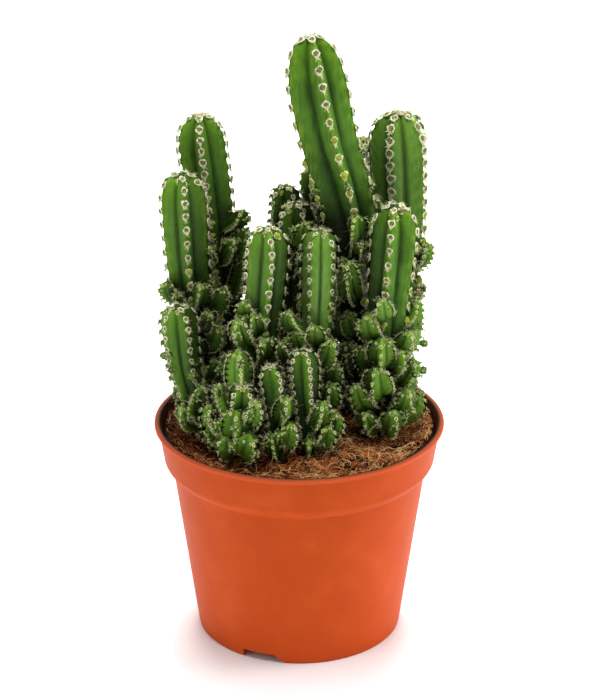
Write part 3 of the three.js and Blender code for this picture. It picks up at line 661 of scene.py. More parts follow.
# %% The table of stems
STEMS = [
    dict(name="stem_tall", radius=13.1, turn=-78, areole=8.6, dome=2.1,
         line=[[27, 15, 95], [28, 14, 140], [22.4, 12, 191], [12.6, 12, 228], [7.5, 12, 254],
               [4.5, 12, 275.5]],
         offsets=[[25, -3, 198, 4.8, 17], [21.5, -5, 178, 5.4, 24], [27, -2, 186, 3.2, 12],
                  [17, 28, 150, 4.8, 15], [15, 27, 126, 4.8, 15], [22, 0, 152, 4.4, 15],
                  [16, 7, 148, 4.8, 17], [21, 1, 137, 5, 18], [18, 6, 118, 5, 15]],
         sprout_top=150),
    dict(name="stem_back_right", radius=13.2, turn=-110, areole=6.2,
         line=[[38, 30, 95], [43, 33.5, 135], [45.6, 34, 183], [43.8, 34, 234]],
         offsets=[[56.5, 24, 175, 5, 15], [33, 22, 198, 3.4, 12], [54, 40, 150, 5, 15],
                  [46, 49, 136, 5, 15], [53, 26, 140, 4.6, 15], [38, 44, 120, 4.6, 15]],
         sprout_top=165),
    dict(name="stem_back_left", radius=10.8, turn=-90, areole=5.8,
         line=[[-33, 32, 95], [-35, 33, 135], [-38, 34, 173], [-43, 36, 214], [-44.4, 36, 232]],
         offsets=[[-25.5, 29, 189, 4.4, 12], [-29, 22, 178, 4.2, 14], [-24, 27, 181, 4.8, 18],
                  [-25.2, 27, 170, 5, 28], [-48, 42, 150, 4.8, 15], [-34, 47, 138, 5, 15],
                  [-42, 44, 122, 4.8, 15]],
         sprout_top=165),
    dict(name="stem_left", radius=10.2, turn=-81, areole=6.8,
         line=[[-40, 12, 95], [-44.5, 12, 130], [-49, 12, 158], [-51.6, 12, 197], [-51.8, 12, 213]],
         offsets=[[-58.5, 5, 164, 4.2, 12], [-43, 0, 165, 4.4, 14], [-33, 3, 162, 4.4, 15],
                  [-40, -2, 153, 4, 12], [-35, -2, 146, 4.6, 14], [-54, 1, 160, 3.2, 10],
                  [-56, 22, 140, 4.8, 15], [-50, 26, 122, 4.8, 15], [-45, 1, 139, 4, 13],
                  [-36, -1, 130, 4.6, 15], [-29, 6, 120, 4.6, 15]],
         sprout_top=160),
    dict(name="stem_left_low", radius=8.3, turn=-54, areole=5.6,
         line=[[-41, -6, 95], [-46, -8, 108], [-51.5, -9.5, 130], [-54, -10.5, 159.5]],
         offsets=[[-51, -17, 113, 4.2, 12], [-42, -16, 123, 4.4, 15], [-46.5, -18, 118, 3.8, 13]],
         sprout_top=125),
    dict(name="stem_right", radius=10.3, turn=-97, areole=7.3,
         line=[[38, -5, 95], [38, -4, 128], [39.3, -4, 161], [41.2, -4, 187], [41.6, -4, 204]],
         offsets=[[36, -16, 164, 3.8, 13], [30, -15, 156, 4.8, 14], [36, -19, 147, 5.8, 18],
                  [34, -21, 134, 6.2, 18], [25, -17, 124, 5.4, 16], [29, -20, 112, 4.6, 13],
                  [41, -20, 113, 5.2, 15], [47, -15, 121, 5, 15], [50, -7, 132, 5.6, 15],
                  [48, -11, 147, 4.6, 13], [44, -16, 140, 4, 12], [51, -3, 158, 4.4, 13],
                  [28, -11, 140, 4.2, 14], [23, -9, 117, 4, 13], [46, 8, 138, 5.2, 15],
                  [49, 7, 118, 5, 15], [52, -2, 112, 4.6, 12], [50.5, 0, 144, 4.8, 14]],
         sprout_top=150),
    dict(name="stem_mid_left", radius=9.5, turn=-78, areole=6.6,
         line=[[-17, -8, 95], [-17, -8, 143], [-14.2, -7, 180], [-14.4, -7, 195]],
         offsets=[[-26, -19, 156, 5.4, 16], [-15, -21, 148, 4.6, 15], [-20, -18, 158, 3.8, 12],
                  [-24, -16, 163, 3.4, 10], [-25, 2, 151, 4.8, 20], [-16, 6, 130, 5, 15],
                  [-30, -11, 137, 5.2, 16], [-28, -12, 122, 5, 15], [-20, -21, 136, 4.6, 15]],
         sprout_top=150),
    dict(name="stem_mid_right", radius=7.6, turn=-54, areole=6.2,
         line=[[6, -9, 95], [7.4, -8, 135], [8.8, -7, 165], [9.4, -6, 193]],
         offsets=[[-5, -17, 159, 3.6, 13], [-8, -22, 146, 4.6, 14], [6, -18, 153, 4.2, 13],
                  [13.5, -18, 146, 4.8, 15], [-1, -17, 150, 3.6, 12], [16, -13, 132, 4.4, 14],
                  [14, -20, 126, 5, 16], [7, 3, 132, 4.6, 14], [-1, -11, 112, 5, 13]],
         sprout_top=150),
    dict(name="stem_mid_back", radius=8.2, turn=-70, areole=5,
         line=[[-4, 20, 95], [-3, 20, 140], [-1.5, 20, 180], [-1, 20, 196]],
         offsets=[[3, 10.5, 190, 4.4, 15], [1, 9, 176, 4, 13], [-10, 13, 176, 4, 13],
                  [5, 27, 150, 4.6, 15], [-8, 9, 134, 5, 16]],
         sprout_top=165),
    dict(name="stem_back", radius=7.2, turn=-60, areole=4.6,
         line=[[-14, 38, 95], [-12, 38, 140], [-7, 36, 180], [-6, 36, 198.5]],
         offsets=[[-19, 45, 148, 4.6, 15], [-7, 45, 138, 4.4, 14]],
         sprout_top=160),
    dict(name="stem_behind_tall", radius=7.1, turn=-110, areole=5,
         line=[[10, 42, 95], [9.5, 44, 150], [7.2, 46, 204.5]],
         offsets=[[14, 49, 146, 4.4, 14], [2, 49, 122, 4.4, 14]],
         sprout_top=160),
    dict(name="stem_far_right", radius=5.6, ribs=4, turn=-80, areole=4.6,
         line=[[24, 46, 95], [27, 49, 150], [28.6, 50, 216.5]],
         offsets=[[20, 52, 130, 4.2, 14], [31, 44, 190, 3.2, 11]],
         sprouts=2, sprout_top=200),
    dict(name="offsets_front_left", radius=6, turn=-60, areole=4.4,
         line=[[-27, -30, 95], [-26, -32, 110], [-24, -34, 132]],
         offsets=[[-26, -28, 145, 6.6, 22], [-27, -40, 122, 6.2, 18], [-22, -42.5, 112, 6.4, 15],
                  [-32, -38, 109, 5.4, 13], [-38, -27, 119, 5.8, 16], [-39, -26, 107, 4.6, 11],
                  [-34, -28, 129, 4.8, 16], [-19, -38, 126, 4.8, 16]],
         sprouts=0, sprout_top=125),
    dict(name="offsets_front", radius=5.2, ribs=4, turn=-50, areole=4.2,
         line=[[-9, -31, 95], [-10, -30.5, 114], [-12.6, -29.5, 139]],
         offsets=[[-12, -39, 110, 5, 13], [-5.5, -34.5, 126, 4.8, 15], [-4, -38, 115, 5, 14],
                  [-8.5, -26, 134, 4.2, 15]],
         sprouts=0, sprout_top=120),
    dict(name="offsets_front_right", radius=6.4, turn=-60, areole=4.2,
         line=[[5, -26, 95], [2.5, -26, 118], [1.2, -26.5, 145]],
         offsets=[[4, -35, 106, 5, 11], [12, -31, 111, 5.2, 14], [10, -31, 122, 5, 15],
                  [16.5, -26, 114, 4.6, 14]],
         sprouts=0, sprout_top=112),
]
print("stems:", len(STEMS), "listed offsets:", sum(len(stem["offsets"]) for stem in STEMS))

# %% Centre lines
LIFT = 1.2
USUAL = dict(ribs=5, sprouts=1, dome=1.45)
BASE_SHARE = 0.63
BODY_SHARE = 0.9


def curve_point(points, t):
    """A point of the smooth curve through the points, t from 0 to 1, or a row of them for a row of t."""
    t = np.atleast_1d(np.asarray(t, float))
    last = len(points) - 1
    padded = np.vstack([2 * points[0] - points[1], points, 2 * points[-1] - points[-2]])
    place = np.clip(t, 0, 1) * last
    index = np.minimum(place.astype(int), last - 1)
    w = (place - index)[:, None]
    p0, p1, p2, p3 = (padded[index + k] for k in range(4))
    t0, t1 = 0.5 * (p2 - p0), 0.5 * (p3 - p1)
    return p1 + t0 * w + (3 * (p2 - p1) - 2 * t0 - t1) * w ** 2 + (2 * (p1 - p2) + t0 + t1) * w ** 3


def measured(stem):
    """The stem with what its row leaves out, its curve's points and its length."""
    points = np.array(stem["line"], float)
    points[0, 2] = soil_top(points[0, 0], points[0, 1]) + LIFT
    steps = np.linspace(0, 1, 201)
    chords = np.linalg.norm(np.diff(curve_point(points, steps), axis=0), axis=1)
    reached = np.concatenate([[0], np.cumsum(chords)])
    return {**USUAL, **stem, "points": points, "steps": steps, "reached": reached, "length": reached[-1]}


def at_length(stem, share):
    """Centre points and upward directions at shares of the stem's length."""
    t = np.interp(np.asarray(share) * stem["length"], stem["reached"], stem["steps"])
    ahead, behind = np.minimum(t + 1e-4, 1), np.maximum(t - 1e-4, 0)
    return curve_point(stem["points"], t), unit(curve_point(stem["points"], ahead)
                                                - curve_point(stem["points"], behind))


def stem_radius(stem, from_tip):
    """The crest radius at a distance from the tip: a dome, a straight body and a narrower base."""
    rise = np.maximum(0, 1 - from_tip / (stem["dome"] * stem["radius"]))
    base = smoothstep(stem["length"] - from_tip, 0, BODY_SHARE * stem["length"])
    return stem["radius"] * np.sqrt(1 - rise ** 2.3) * (BASE_SHARE + (1 - BASE_SHARE) * base)


def line_at(stem, z):
    """The point of the centre line at a height z, or its nearest end."""
    low, high = 0.0, 1.0
    for _ in range(24):
        middle = (low + high) / 2
        if curve_point(stem["points"], middle)[0, 2] < z:
            low = middle
        else:
            high = middle
    return curve_point(stem["points"], low)[0]


stems = [measured(stem) for stem in STEMS]
print("stem lengths in mm:", {stem["name"]: round(float(stem["length"])) for stem in stems})

# %% The offsets, placed by rule
STOUT = 4.9
LOBE_ROOT = 0.5
LOBE_BEND = 0.75
SPROUT_LOWEST = 12
SPROUT_RADIUS = (2.6, 4)
SPROUT_STRETCH = (2.6, 3.4)
CLEAR = 0.6
LEAST_SHARE = 0.6
SHRINK = 0.92
SEED = 4211


def draws(seed):
    """The same row of chance numbers as the CAD source draws."""
    state = seed
    while True:
        state = state * 16807 % 2147483647
        yield state / 2147483647


def lobe(stem, spec, ribs):
    """An offset grows out of the stem's centre line and turns up to its top."""
    x, y, z, radius, length = spec
    floor = soil_top(x, y) + LIFT + radius
    bend = max(z - LOBE_BEND * length, min(floor, z - 2))
    root = line_at(stem, max(bend - 0.3 * length, soil_top(x, y) + LIFT + 4))
    side = unit(np.array([root[1] - y, x - root[0], 0.0]))
    return {"knots": np.array([root, [x, y, bend], [x, y, z]]), "side": side, "radius": radius, "ribs": ribs}


def lobe_point(piece, t):
    a, b, c = piece["knots"]
    t = np.asarray(t, float)[..., None]
    return (1 - t) ** 2 * a + 2 * (1 - t) * t * b + t ** 2 * c


def lobe_radius(piece, t):
    rise = np.maximum(0, (t - 0.62) / 0.38)
    return piece["radius"] * (LOBE_ROOT + (1 - LOBE_ROOT) * smoothstep(t, 0, 0.6)) * np.sqrt(1 - rise ** 2.4)


def lobe_balls(piece):
    t = np.array([0.3, 0.45, 0.6, 0.75, 0.9])
    return lobe_point(piece, t), lobe_radius(piece, t)


def stem_balls(stem):
    share = np.linspace(0, 1, math.ceil(stem["length"] / 5) + 1)
    return at_length(stem, share)[0], stem_radius(stem, (1 - share) * stem["length"])


def has_room(piece, name, taken):
    spots, radii = lobe_balls(piece)
    for owner, centres, sizes in taken:
        if owner != name:
            apart = np.linalg.norm(spots[:, None] - centres[None], axis=-1)
            if np.any(apart <= radii[:, None] + sizes[None] + CLEAR):
                return False
    return True


def fitted(stem, spec, ribs, taken):
    """The offset as large as its room allows, down to a least share of its size, or nothing."""
    share = 1.0
    while share >= LEAST_SHARE:
        piece = lobe(stem, [*spec[:3], spec[3] * share, spec[4]], ribs)
        if has_room(piece, stem["name"], taken):
            return piece
        share *= SHRINK
    return None


def sprout(stem, draw):
    """A small offset at a random height and side of the stem."""
    low = soil_top(*stem["points"][0][:2]) + SPROUT_LOWEST
    z = low + (stem["sprout_top"] - low) * next(draw)
    turn = 2 * math.pi * next(draw)
    radius = SPROUT_RADIUS[0] + (SPROUT_RADIUS[1] - SPROUT_RADIUS[0]) * next(draw)
    length = radius * (SPROUT_STRETCH[0] + (SPROUT_STRETCH[1] - SPROUT_STRETCH[0]) * next(draw))
    centre = line_at(stem, z - length)
    reach = stem["radius"] * 0.85 + radius * 1.1
    return [centre[0] + reach * math.cos(turn), centre[1] + reach * math.sin(turn), z, radius, length]


def place_offsets():
    """All offsets of all stems, placed one after another so that none comes near another stem's growth."""
    taken = [(stem["name"], *stem_balls(stem)) for stem in stems]
    draw = draws(SEED)

    def keep(stem, spec):
        ribs = (3 if next(draw) < 0.5 else 4) + (spec[3] > STOUT)
        piece = fitted(stem, spec, ribs, taken)
        if piece:
            stem["lobes"].append(piece)
            taken.append((stem["name"], *lobe_balls(piece)))

    for stem in stems:
        stem["lobes"] = []
        for spec in stem["offsets"]:
            keep(stem, spec)
    for stem in stems:
        for _ in range(stem["sprouts"]):
            keep(stem, sprout(stem, draw))


place_offsets()
print("offsets placed:", sum(len(stem["lobes"]) for stem in stems))

# %% [markdown]
# ## Ribbed flesh
# Each rib has a rounded crest, flat flanks and a sharp groove, and its crest swells under every areole.
# Sculpting that by hand would take days. Instead a body here is a smooth line with a frame at each step,
# and one function gives the skin's point at a distance from the tip and a turn counted in ribs. The mesh
# asks it for a fine grid of points, and the areoles ask it for their seats, so they always sit exactly on
# the crests.

# %% One function for every ribbed skin
CREST_ROUNDING = 0.12
FLANK_POWER = 0.75
STEM_GROOVE = 0.55


def rib_share(turn, groove):
    """The radius as a share of the crest's, at a turn counted in ribs from a crest."""
    off = 2 * np.abs(turn - np.round(turn))
    c = CREST_ROUNDING
    ramp = (np.sqrt(off * off + c * c) - c) / (math.sqrt(1 + c * c) - c)
    return 1 - (1 - groove) * ramp ** FLANK_POWER


class Body:
    """A ribbed body: a line with frames and radii at distances from its tip, and the habit of its ribs."""

    def __init__(self, from_tip, centre, along, side, radius, ribs, groove, turn, spacing, first, knob, dip):
        self.from_tip, self.centre, self.along, self.radius = from_tip, centre, along, radius
        self.u = unit(side - along * np.sum(side * along, -1, keepdims=True))
        self.v = np.cross(along, self.u)
        self.ribs, self.groove, self.turn = ribs, groove, turn
        self.spacing, self.knob, self.dip = spacing, knob, dip
        # crowd packs the areoles near the tip, dimple sinks the tip, and pinch deepens the grooves there
        self.crowd, self.dimple, self.pinch = 0.0, 0.0, 0.05
        # each rib has its own first areole, lean and thickness, and the whole body sways a little
        self.first = first / spacing + rng.uniform(-0.12, 0.12, ribs)
        self.jitter = rng.normal(0, 0.035, ribs)
        self.gain = rng.normal(0, 0.03, ribs)
        self.sway = rng.uniform(0, 2 * math.pi, 2)[0]

    def wide(self):
        return float(self.radius.max())

    def ripples(self, s):
        """How many areoles a rib has from its tip to a distance from it. They crowd near the tip."""
        return (s + self.crowd * self.spacing * (1 - np.exp(-s / (1.5 * self.spacing)))) / self.spacing

    def at(self, s, rows):
        """Any of the line's rows of values, read off at distances from the tip."""
        return np.stack([np.interp(s, self.from_tip, rows[:, k]) for k in range(rows.shape[1])], -1)

    def around(self, turn, rows):
        """A value per rib, blended smoothly from rib to rib."""
        marks = np.arange(self.ribs + 1)
        return np.interp(np.mod(turn, self.ribs), marks, np.append(rows, rows[0]))

    def swell(self, s, turn):
        """1 level with an areole and 0 halfway between two."""
        rib = np.mod(np.round(turn).astype(int), self.ribs)
        return 0.5 + 0.5 * np.cos(2 * np.pi * (self.ripples(s) - self.first[rib]))

    def skin(self, s, turn):
        """The skin's points at distances from the tip and turns in ribs, and the crest share of each."""
        s, turn = np.broadcast_arrays(np.asarray(s, float), np.asarray(turn, float))
        groove = self.groove - self.pinch * np.exp(-s / self.wide())
        share = rib_share(turn, groove)
        crest = (share - groove) / (1 - groove)
        swell = self.swell(s, turn)
        radius = np.interp(s, self.from_tip, self.radius)
        fade = np.clip(radius / self.wide(), 0, 1)
        out = radius * share * (1 + self.around(turn, self.gain) * crest)
        out = out + crest ** 3 * fade * (self.knob * swell ** 1.5 - self.dip * (1 - swell))
        angle = self.turn + 2 * np.pi * turn / self.ribs + self.around(turn, self.jitter)
        angle = angle + 0.04 * np.sin(s / (2.2 * self.wide()) + self.sway)
        hollow = self.dimple * np.exp(-((s / (0.3 * self.wide())) ** 2))
        spots = self.at(s, self.centre) - hollow[..., None] * self.at(s, self.along)
        spots = spots + out[..., None] * (np.cos(angle)[..., None] * self.at(s, self.u)
                                          + np.sin(angle)[..., None] * self.at(s, self.v))
        return spots, crest

    def seats(self, s, turn):
        """Points on the skin with the outward and the tipward direction at each."""
        step = 0.15
        spot, _ = self.skin(s, turn)
        up = unit(self.skin(np.maximum(s - step, 0.01), turn)[0] - self.skin(s + step, turn)[0])
        across = self.skin(s, turn + 0.02)[0] - self.skin(s, turn - 0.02)[0]
        out = unit(np.cross(across, up))
        return spot, out, up


print("a groove lies at", rib_share(0.5, STEM_GROOVE).round(2), "of the crest's radius")

# %% The bodies of stems and offsets
LOBE_GROOVES = {3: 0.52, 4: 0.5, 5: 0.54}
LOBE_KNOB, LOBE_DIP = 0.95, 0.75


def stem_body(stem):
    from_tip = np.linspace(0, stem["length"], 260)
    centre, along = at_length(stem, 1 - from_tip / stem["length"])
    side = np.tile([1.0, 0, 0], (len(from_tip), 1))
    knob = float(np.clip(0.6 - 0.15 * (stem["areole"] - 6), 0.3, 0.6))
    body = Body(from_tip, centre, along, side, stem_radius(stem, from_tip), stem["ribs"], STEM_GROOVE,
                math.radians(stem["turn"]), stem["areole"], 0.15 * stem["radius"], knob, 0.4 * knob)
    body.crowd, body.dimple, body.pinch = 0.9, 0.1 * stem["radius"], 0.2
    return body


def lobe_body(piece):
    t = np.linspace(1, 0, 90)
    centre = lobe_point(piece, t)
    from_tip = np.concatenate([[0], np.cumsum(np.linalg.norm(np.diff(centre, axis=0), axis=1))])
    along = unit(-np.gradient(centre, axis=0))
    side = np.tile(piece["side"], (len(t), 1))
    spacing = np.clip(0.46 * piece["radius"], 1.7, 2.6)
    body = Body(from_tip, centre, along, side, lobe_radius(piece, t), piece["ribs"],
                LOBE_GROOVES[piece["ribs"]], 0.0, spacing, 0.34 * piece["radius"], LOBE_KNOB, LOBE_DIP)
    body.jitter = rng.normal(0, 0.13, piece["ribs"])
    body.gain = rng.normal(0, 0.07, piece["ribs"])
    return body


for stem in stems:
    stem["body"] = stem_body(stem)
    stem["lobe_bodies"] = [lobe_body(piece) for piece in stem["lobes"]]
print("ribbed bodies:", sum(1 + len(stem["lobe_bodies"]) for stem in stems))

# %% [markdown]
# ## Small pups
# Offsets are never bare: tiny new ones push out between the areoles of their upper half, and the old
# areoles low on a column swell into lime green pups as well. Each is a miniature ribbed body that starts
# inside its parent's crest and leans up, so the same skin function grows it. Plain balls that stand for the
# stems and offsets tell whether a spot is free.

# %% Balls that stand for stems and offsets
def clump_balls():
    """Centres, radii and owners of balls that stand for all stems and offsets."""
    centres, radii, owners = [], [], []
    for index, stem in enumerate(stems):
        for body, gap in [(stem["body"], 0.8), *((body, 0.9) for body in stem["lobe_bodies"])]:
            s = np.arange(0.6 * body.wide(), body.from_tip[-1], gap * body.wide())
            centres.append(body.at(s, body.centre))
            radii.append(np.interp(s, body.from_tip, body.radius))
            owners.append(np.full(len(s), index if body is stem["body"] else -1))
    return np.concatenate(centres), np.concatenate(radii), np.concatenate(owners)


BALL_CENTRES, BALL_RADII, BALL_OWNERS = clump_balls()
print("balls:", len(BALL_RADII))

# %% Pups on the offsets and the columns
PUP_SPACE = 10
PUP_RIBS, PUP_GROOVE = 4, 0.66


def pup_body(parent, s, rib, size, tallness=2.1):
    """A tiny offset on a parent's crest."""
    spot, out, up = (part[0] for part in parent.seats(np.array([s]), np.array([float(rib)])))
    lean = unit(0.75 * out + 0.65 * up)
    t = np.linspace(1, 0, 40)
    tall = tallness * size
    centre = spot - 0.6 * size * out + lean * (t[:, None] * tall)
    along = np.tile(lean, (len(t), 1))
    side = np.tile(np.cross(lean, out) + 1e-3, (len(t), 1))
    rise = np.maximum(0, (t - 0.45) / 0.55)
    radius = size * (0.7 + 0.3 * smoothstep(t, 0, 0.5)) * np.sqrt(1 - rise ** 2.2)
    return Body((1 - t) * tall, centre, along, side, radius, PUP_RIBS, PUP_GROOVE, rng.uniform(0, 6), 1.5,
                0.3 * size, 0.18, 0.2)


def fits_inside(body):
    """Whether a body keeps inside the model's box, with room for its spines."""
    reach = body.wide() + 1.5
    return bool(np.all(body.centre - reach > BOX_LOW) and np.all(body.centre + reach < BOX_HIGH))


def free_spot(body, owner):
    """Whether a pup on a column keeps clear of all other stems and of all offsets."""
    spots = body.centre[body.from_tip < 0.6 * body.from_tip[-1]]
    others = BALL_OWNERS != owner
    apart = np.linalg.norm(spots[:, None] - BALL_CENTRES[others][None], axis=-1)
    return bool(np.all(apart > BALL_RADII[others] + body.wide() + 0.3))


for index, stem in enumerate(stems):
    stem["pups"] = []
    for body in stem["lobe_bodies"]:
        for rib in range(body.ribs):
            if body.wide() > 3 and rng.uniform() < 0.5:
                s = rng.uniform(0.5, 1.5) * body.wide()
                pup = pup_body(body, s, rib, rng.uniform(0.26, 0.44) * body.wide())
                if fits_inside(pup):
                    stem["pups"].append(pup)
    body, pups = stem["body"], []
    for _ in range(int(body.ribs * stem["length"] / PUP_SPACE)):
        share = rng.uniform(0.3, 0.97)
        size = rng.uniform(1.1, 1.6) + 1.5 * share ** 2 * rng.uniform(0.2, 1)
        pup = pup_body(body, share * stem["length"], rng.integers(body.ribs), size, rng.uniform(1.9, 3.0))
        apart = [np.linalg.norm(pup.centre[0] - other.centre[0]) > pup.wide() + other.wide() + 0.8
                 for other in pups]
        if rng.uniform() < share and all(apart) and fits_inside(pup) and free_spot(pup, index):
            pups.append(pup)
    stem["pups"] += pups
print("pups:", sum(len(stem["pups"]) for stem in stems))

# %% [markdown]
# ## Painted shade in the clump
# Inside the clump the flesh, wool and spines get little light, and that shade is painted into their colour.
# How deep a point lies is worked out once from the same balls that stand for the stems and offsets: a point
# is deep when many balls stand close in front of it. The shader then paints shade by that value, the same
# whatever the lamps or the camera.

# %% How deep a point lies in the clump
SHADE_REACH = 32


def shade_at(spots, outs):
    """0 for points in the open, up to 1 for points far in between stems, for painted shade.
    outs are the directions outwards.
    """
    low, high = spots.min(0) - SHADE_REACH, spots.max(0) + SHADE_REACH
    near = np.all((BALL_CENTRES > low) & (BALL_CENTRES < high), axis=1)
    centres, radii = BALL_CENTRES[near], BALL_RADII[near]
    shade = np.zeros(len(spots))
    for start in range(0, len(spots), 4000):
        part = slice(start, start + 4000)
        away = centres[None] - spots[part, None]
        distance = np.maximum(np.linalg.norm(away, axis=-1), 0.7 * radii)
        facing = np.maximum(0, np.sum(away * outs[part, None], -1) / distance)
        shade[part] = np.sum(facing * (radii / distance) ** 2, axis=1)
    return 0.72 * smoothstep(shade, 0.22, 1.75) + 0.28 * smoothstep(shade, 0.03, 0.5)


print("depth in the open:", shade_at(np.array([[0.0, 0, 300]]), np.array([[0.0, 0, 1]])))

# %% [markdown]
# ## The skin's mesh
# The skin could be a modifier on a tube, but then the finish wouldn't know which point is a crest and which
# a groove. So each body's skin is a grid that asks for its points row by row, and it carries those values
# along: how near a crest, the tip and the soil a point is, how deep in the clump it lies, and where it
# stands between two areoles.

# %% Grids of skin
def skin_rows(body, step):
    """Distances from the tip, close together where the tip is round and then a step apart."""
    dome = 1.3 * body.wide()
    near = dome * (1 - np.cos(np.linspace(0.06, math.pi / 2, max(6, int(dome / step) + 4))))
    far = np.arange(near[-1] + step, body.from_tip[-1], step)
    return np.concatenate([near, far, [body.from_tip[-1]]])


def add_skin(batch, body, step, per_rib, tint, growth=0.0, root=0.0, age_and_shade_span=(38, 105)):
    """Adds a body's skin, with its tip closed and, for a stem, a root that goes on into the soil. The flesh
    is painted darker between the two distances from the tip that ages gives, partly as older flesh and partly
    as painted shade."""
    s = skin_rows(body, step)
    turn = np.arange(body.ribs * per_rib) / per_rib
    spots, crest = body.skin(s[:, None], turn[None, :])
    if root:
        foot = spots[-1] - body.along[-1] * root
        spots = np.concatenate([spots, foot[None]])
        crest = np.concatenate([crest, crest[-1:]])
        s = np.append(s, s[-1] + root)
    rows, columns = crest.shape
    young = np.exp(-s / (1.6 * body.wide() + 2)) + growth
    middle = body.at(np.minimum(s, body.from_tip[-1]), body.centre)[:, None]
    # painted shade: how far each point lies in the clump, for the finish to darken
    deep = shade_at(spots.reshape(-1, 3), unit(spots - middle).reshape(-1, 3))
    # painted darker far from the tip, partly as older flesh and partly as painted shade
    age_and_shade = np.repeat(0.95 * smoothstep(s, *age_and_shade_span), columns)
    # painted shade near the soil
    shaded = 0.8 * (1 - smoothstep(spots[..., 2].ravel(), SOIL_EDGE_Z, SOIL_EDGE_Z + 55))
    level = np.clip(s[:, None] - 0.5 * body.wide() * (1 - crest), 0, body.from_tip[-1])
    band = body.swell(level, np.broadcast_to(turn, level.shape))
    batch.add(spots, grid_triangles(rows, columns)[:, ::-1], crest=crest, young=np.repeat(young, columns),
              low=np.maximum(age_and_shade, shaded), deep=deep, tint=tint, band=band)
    top = body.at(np.array([0.0]), body.centre)
    batch.add(np.concatenate([spots[0], top]), fan(columns, 0, columns), crest=0.3, young=1, low=0, deep=0,
              tint=tint, band=0.5)


STEM_SKIN = dict(step=1.1, per_rib=16)
LOBE_SKIN = dict(step=0.6, per_rib=12)
PUP_SKIN = dict(step=0.4, per_rib=6)
ROOT_LENGTH = 4
print("rows on the tallest stem:", len(skin_rows(stems[0]["body"], STEM_SKIN["step"])))

# %% [markdown]
# ## The look of the flesh
# The flanks are mid green, the crests a yellow green that is partly their own tone and partly a painted
# highlight, and the new growth at the tips lime. The grooves are painted dark as painted shade, and the flesh
# far from the tip and near the soil is painted darker, partly as older flesh and partly as painted shade.
# Faint bands of painted shade cross the ribs in the dips between the areoles, and fine pale specks and a thin
# waxy bloom, with a painted sheen on it, keep it from looking like paint. A few stems are paler than the
# rest, and so are some offsets. The recipe blends on the values that the mesh carries.

# %% Green flesh
def green_flesh():
    flesh = Finish("green_cactus_flesh", specular_ior_level=0.11)
    crest, young, tint = flesh.value("crest"), flesh.value("young"), flesh.value("tint")
    low = flesh.value("low") * (1 - tint * 0.5)
    clouds, streaks = flesh.noise(7, detail=5, tall=2.2), flesh.noise(1.1, detail=4, tall=9)
    fine, bloom_and_sheen = flesh.noise(0.9), flesh.noise(9, tall=3)
    flank = flesh.layered(flesh.blend(clouds.between(0.38, 0.64), (43, 86, 20), (86, 134, 36)), (
        (tint * 0.8, (146, 194, 94)),
        (streaks.between(0.42, 0.7) * 0.4, (30, 66, 16)),
    ))
    # the crests are painted paler, partly their own yellow green and partly a painted highlight
    edge = flesh.blend(streaks.between(0.38, 0.62), (84, 144, 26), (152, 194, 58))
    # painted shade: the crest is painted darker in the dips between the areoles
    notch = (1 - flesh.value("band")) * crest.between(0.25, 0.7) * clouds.between(0.3, 0.65)
    # painted shade: the grooves are painted dark green, where shade falls between the ribs
    groove = 1 - crest.between(0.0, 0.4)
    body = flesh.layered(flesh.blend(crest ** 2.2 * 0.85, flank, edge), (
        (notch * 0.42, (38, 82, 18)),
        (groove * 0.78, (20, 44, 13)),
        # a waxy bloom with a painted sheen: patches painted a paler green
        (bloom_and_sheen.between(0.5, 0.66) * 0.3, (94, 142, 52)),
        (young.between(0.15, 1.0) * 0.36, (120, 168, 34)),
        # painted shade and older flesh: darker low on the plant and far from the tip
        (low ** 1.3 * 0.66, (22, 44, 12)),
        # painted shade: flesh far in the clump is painted nearly black
        (flesh.value("deep") * (0.92 - tint * 0.35), (10, 18, 6)),
        (fine.between(0.55, 0.8) * 0.2, (140, 168, 84)),
    ))
    flesh.bumps(fine * 0.5 + clouds * 0.5 - notch * 0.4, 0.4)
    return flesh.finished(body, clouds * 0.22 + 0.28)


PALER = {"stem_back_right": 1.0, "stem_mid_right": 1.0, "stem_mid_left": 0.5, "stem_left_low": 0.4,
         "stem_left": 0.3}
flesh = green_flesh()
for stem in stems:
    batch = Batch()
    pale = PALER.get(stem["name"], rng.uniform(0, 0.2))
    add_skin(batch, stem["body"], **STEM_SKIN, tint=pale, root=ROOT_LENGTH)
    for body in stem["lobe_bodies"]:
        long = body.from_tip[-1]
        pale = rng.uniform(0.1, 0.9)
        add_skin(batch, body, **LOBE_SKIN, tint=pale, growth=0.5, age_and_shade_span=(0.3 * long, long))
    for body in stem["pups"]:
        add_skin(batch, body, **PUP_SKIN, tint=rng.uniform(0, 0.7), growth=0.5)
    piece = batch.piece(stem["name"] + "_flesh", flesh, "flesh")
    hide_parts(stem["name"])
print("flesh pieces:", len(stems))

# %% [markdown]
# ## Areoles
# An areole is a small cushion of cream wool round a green bud, with a tuft of short spines that mostly
# point down. At this size a ring of lumpy wool reads far better than thousands of separate hairs, so each
# areole is a lumpy ring with a bud in it, plus a few spines and hairs that break its outline.

# %% Seats of the areoles
RING_AROUND, RING_SECTION = 12, 5
BUD_AROUND = 8


def areole_seats(body, lowest):
    """Where a body's areoles sit, down to a share of its length: their points, outward and tipward directions
    and distances from the tip."""
    s, turn = [], []
    lengths = np.linspace(0.05, body.from_tip[-1] * lowest, 400)
    counts = body.ripples(lengths)
    for rib in range(body.ribs):
        marks = np.arange(body.first[rib], counts[-1], 1.0)
        s.append(np.interp(marks[marks > counts[0]], counts, lengths))
        turn.append(np.full(len(s[-1]), float(rib)))
    s, turn = np.concatenate(s), np.concatenate(turn)
    return (*body.seats(s, turn), s)


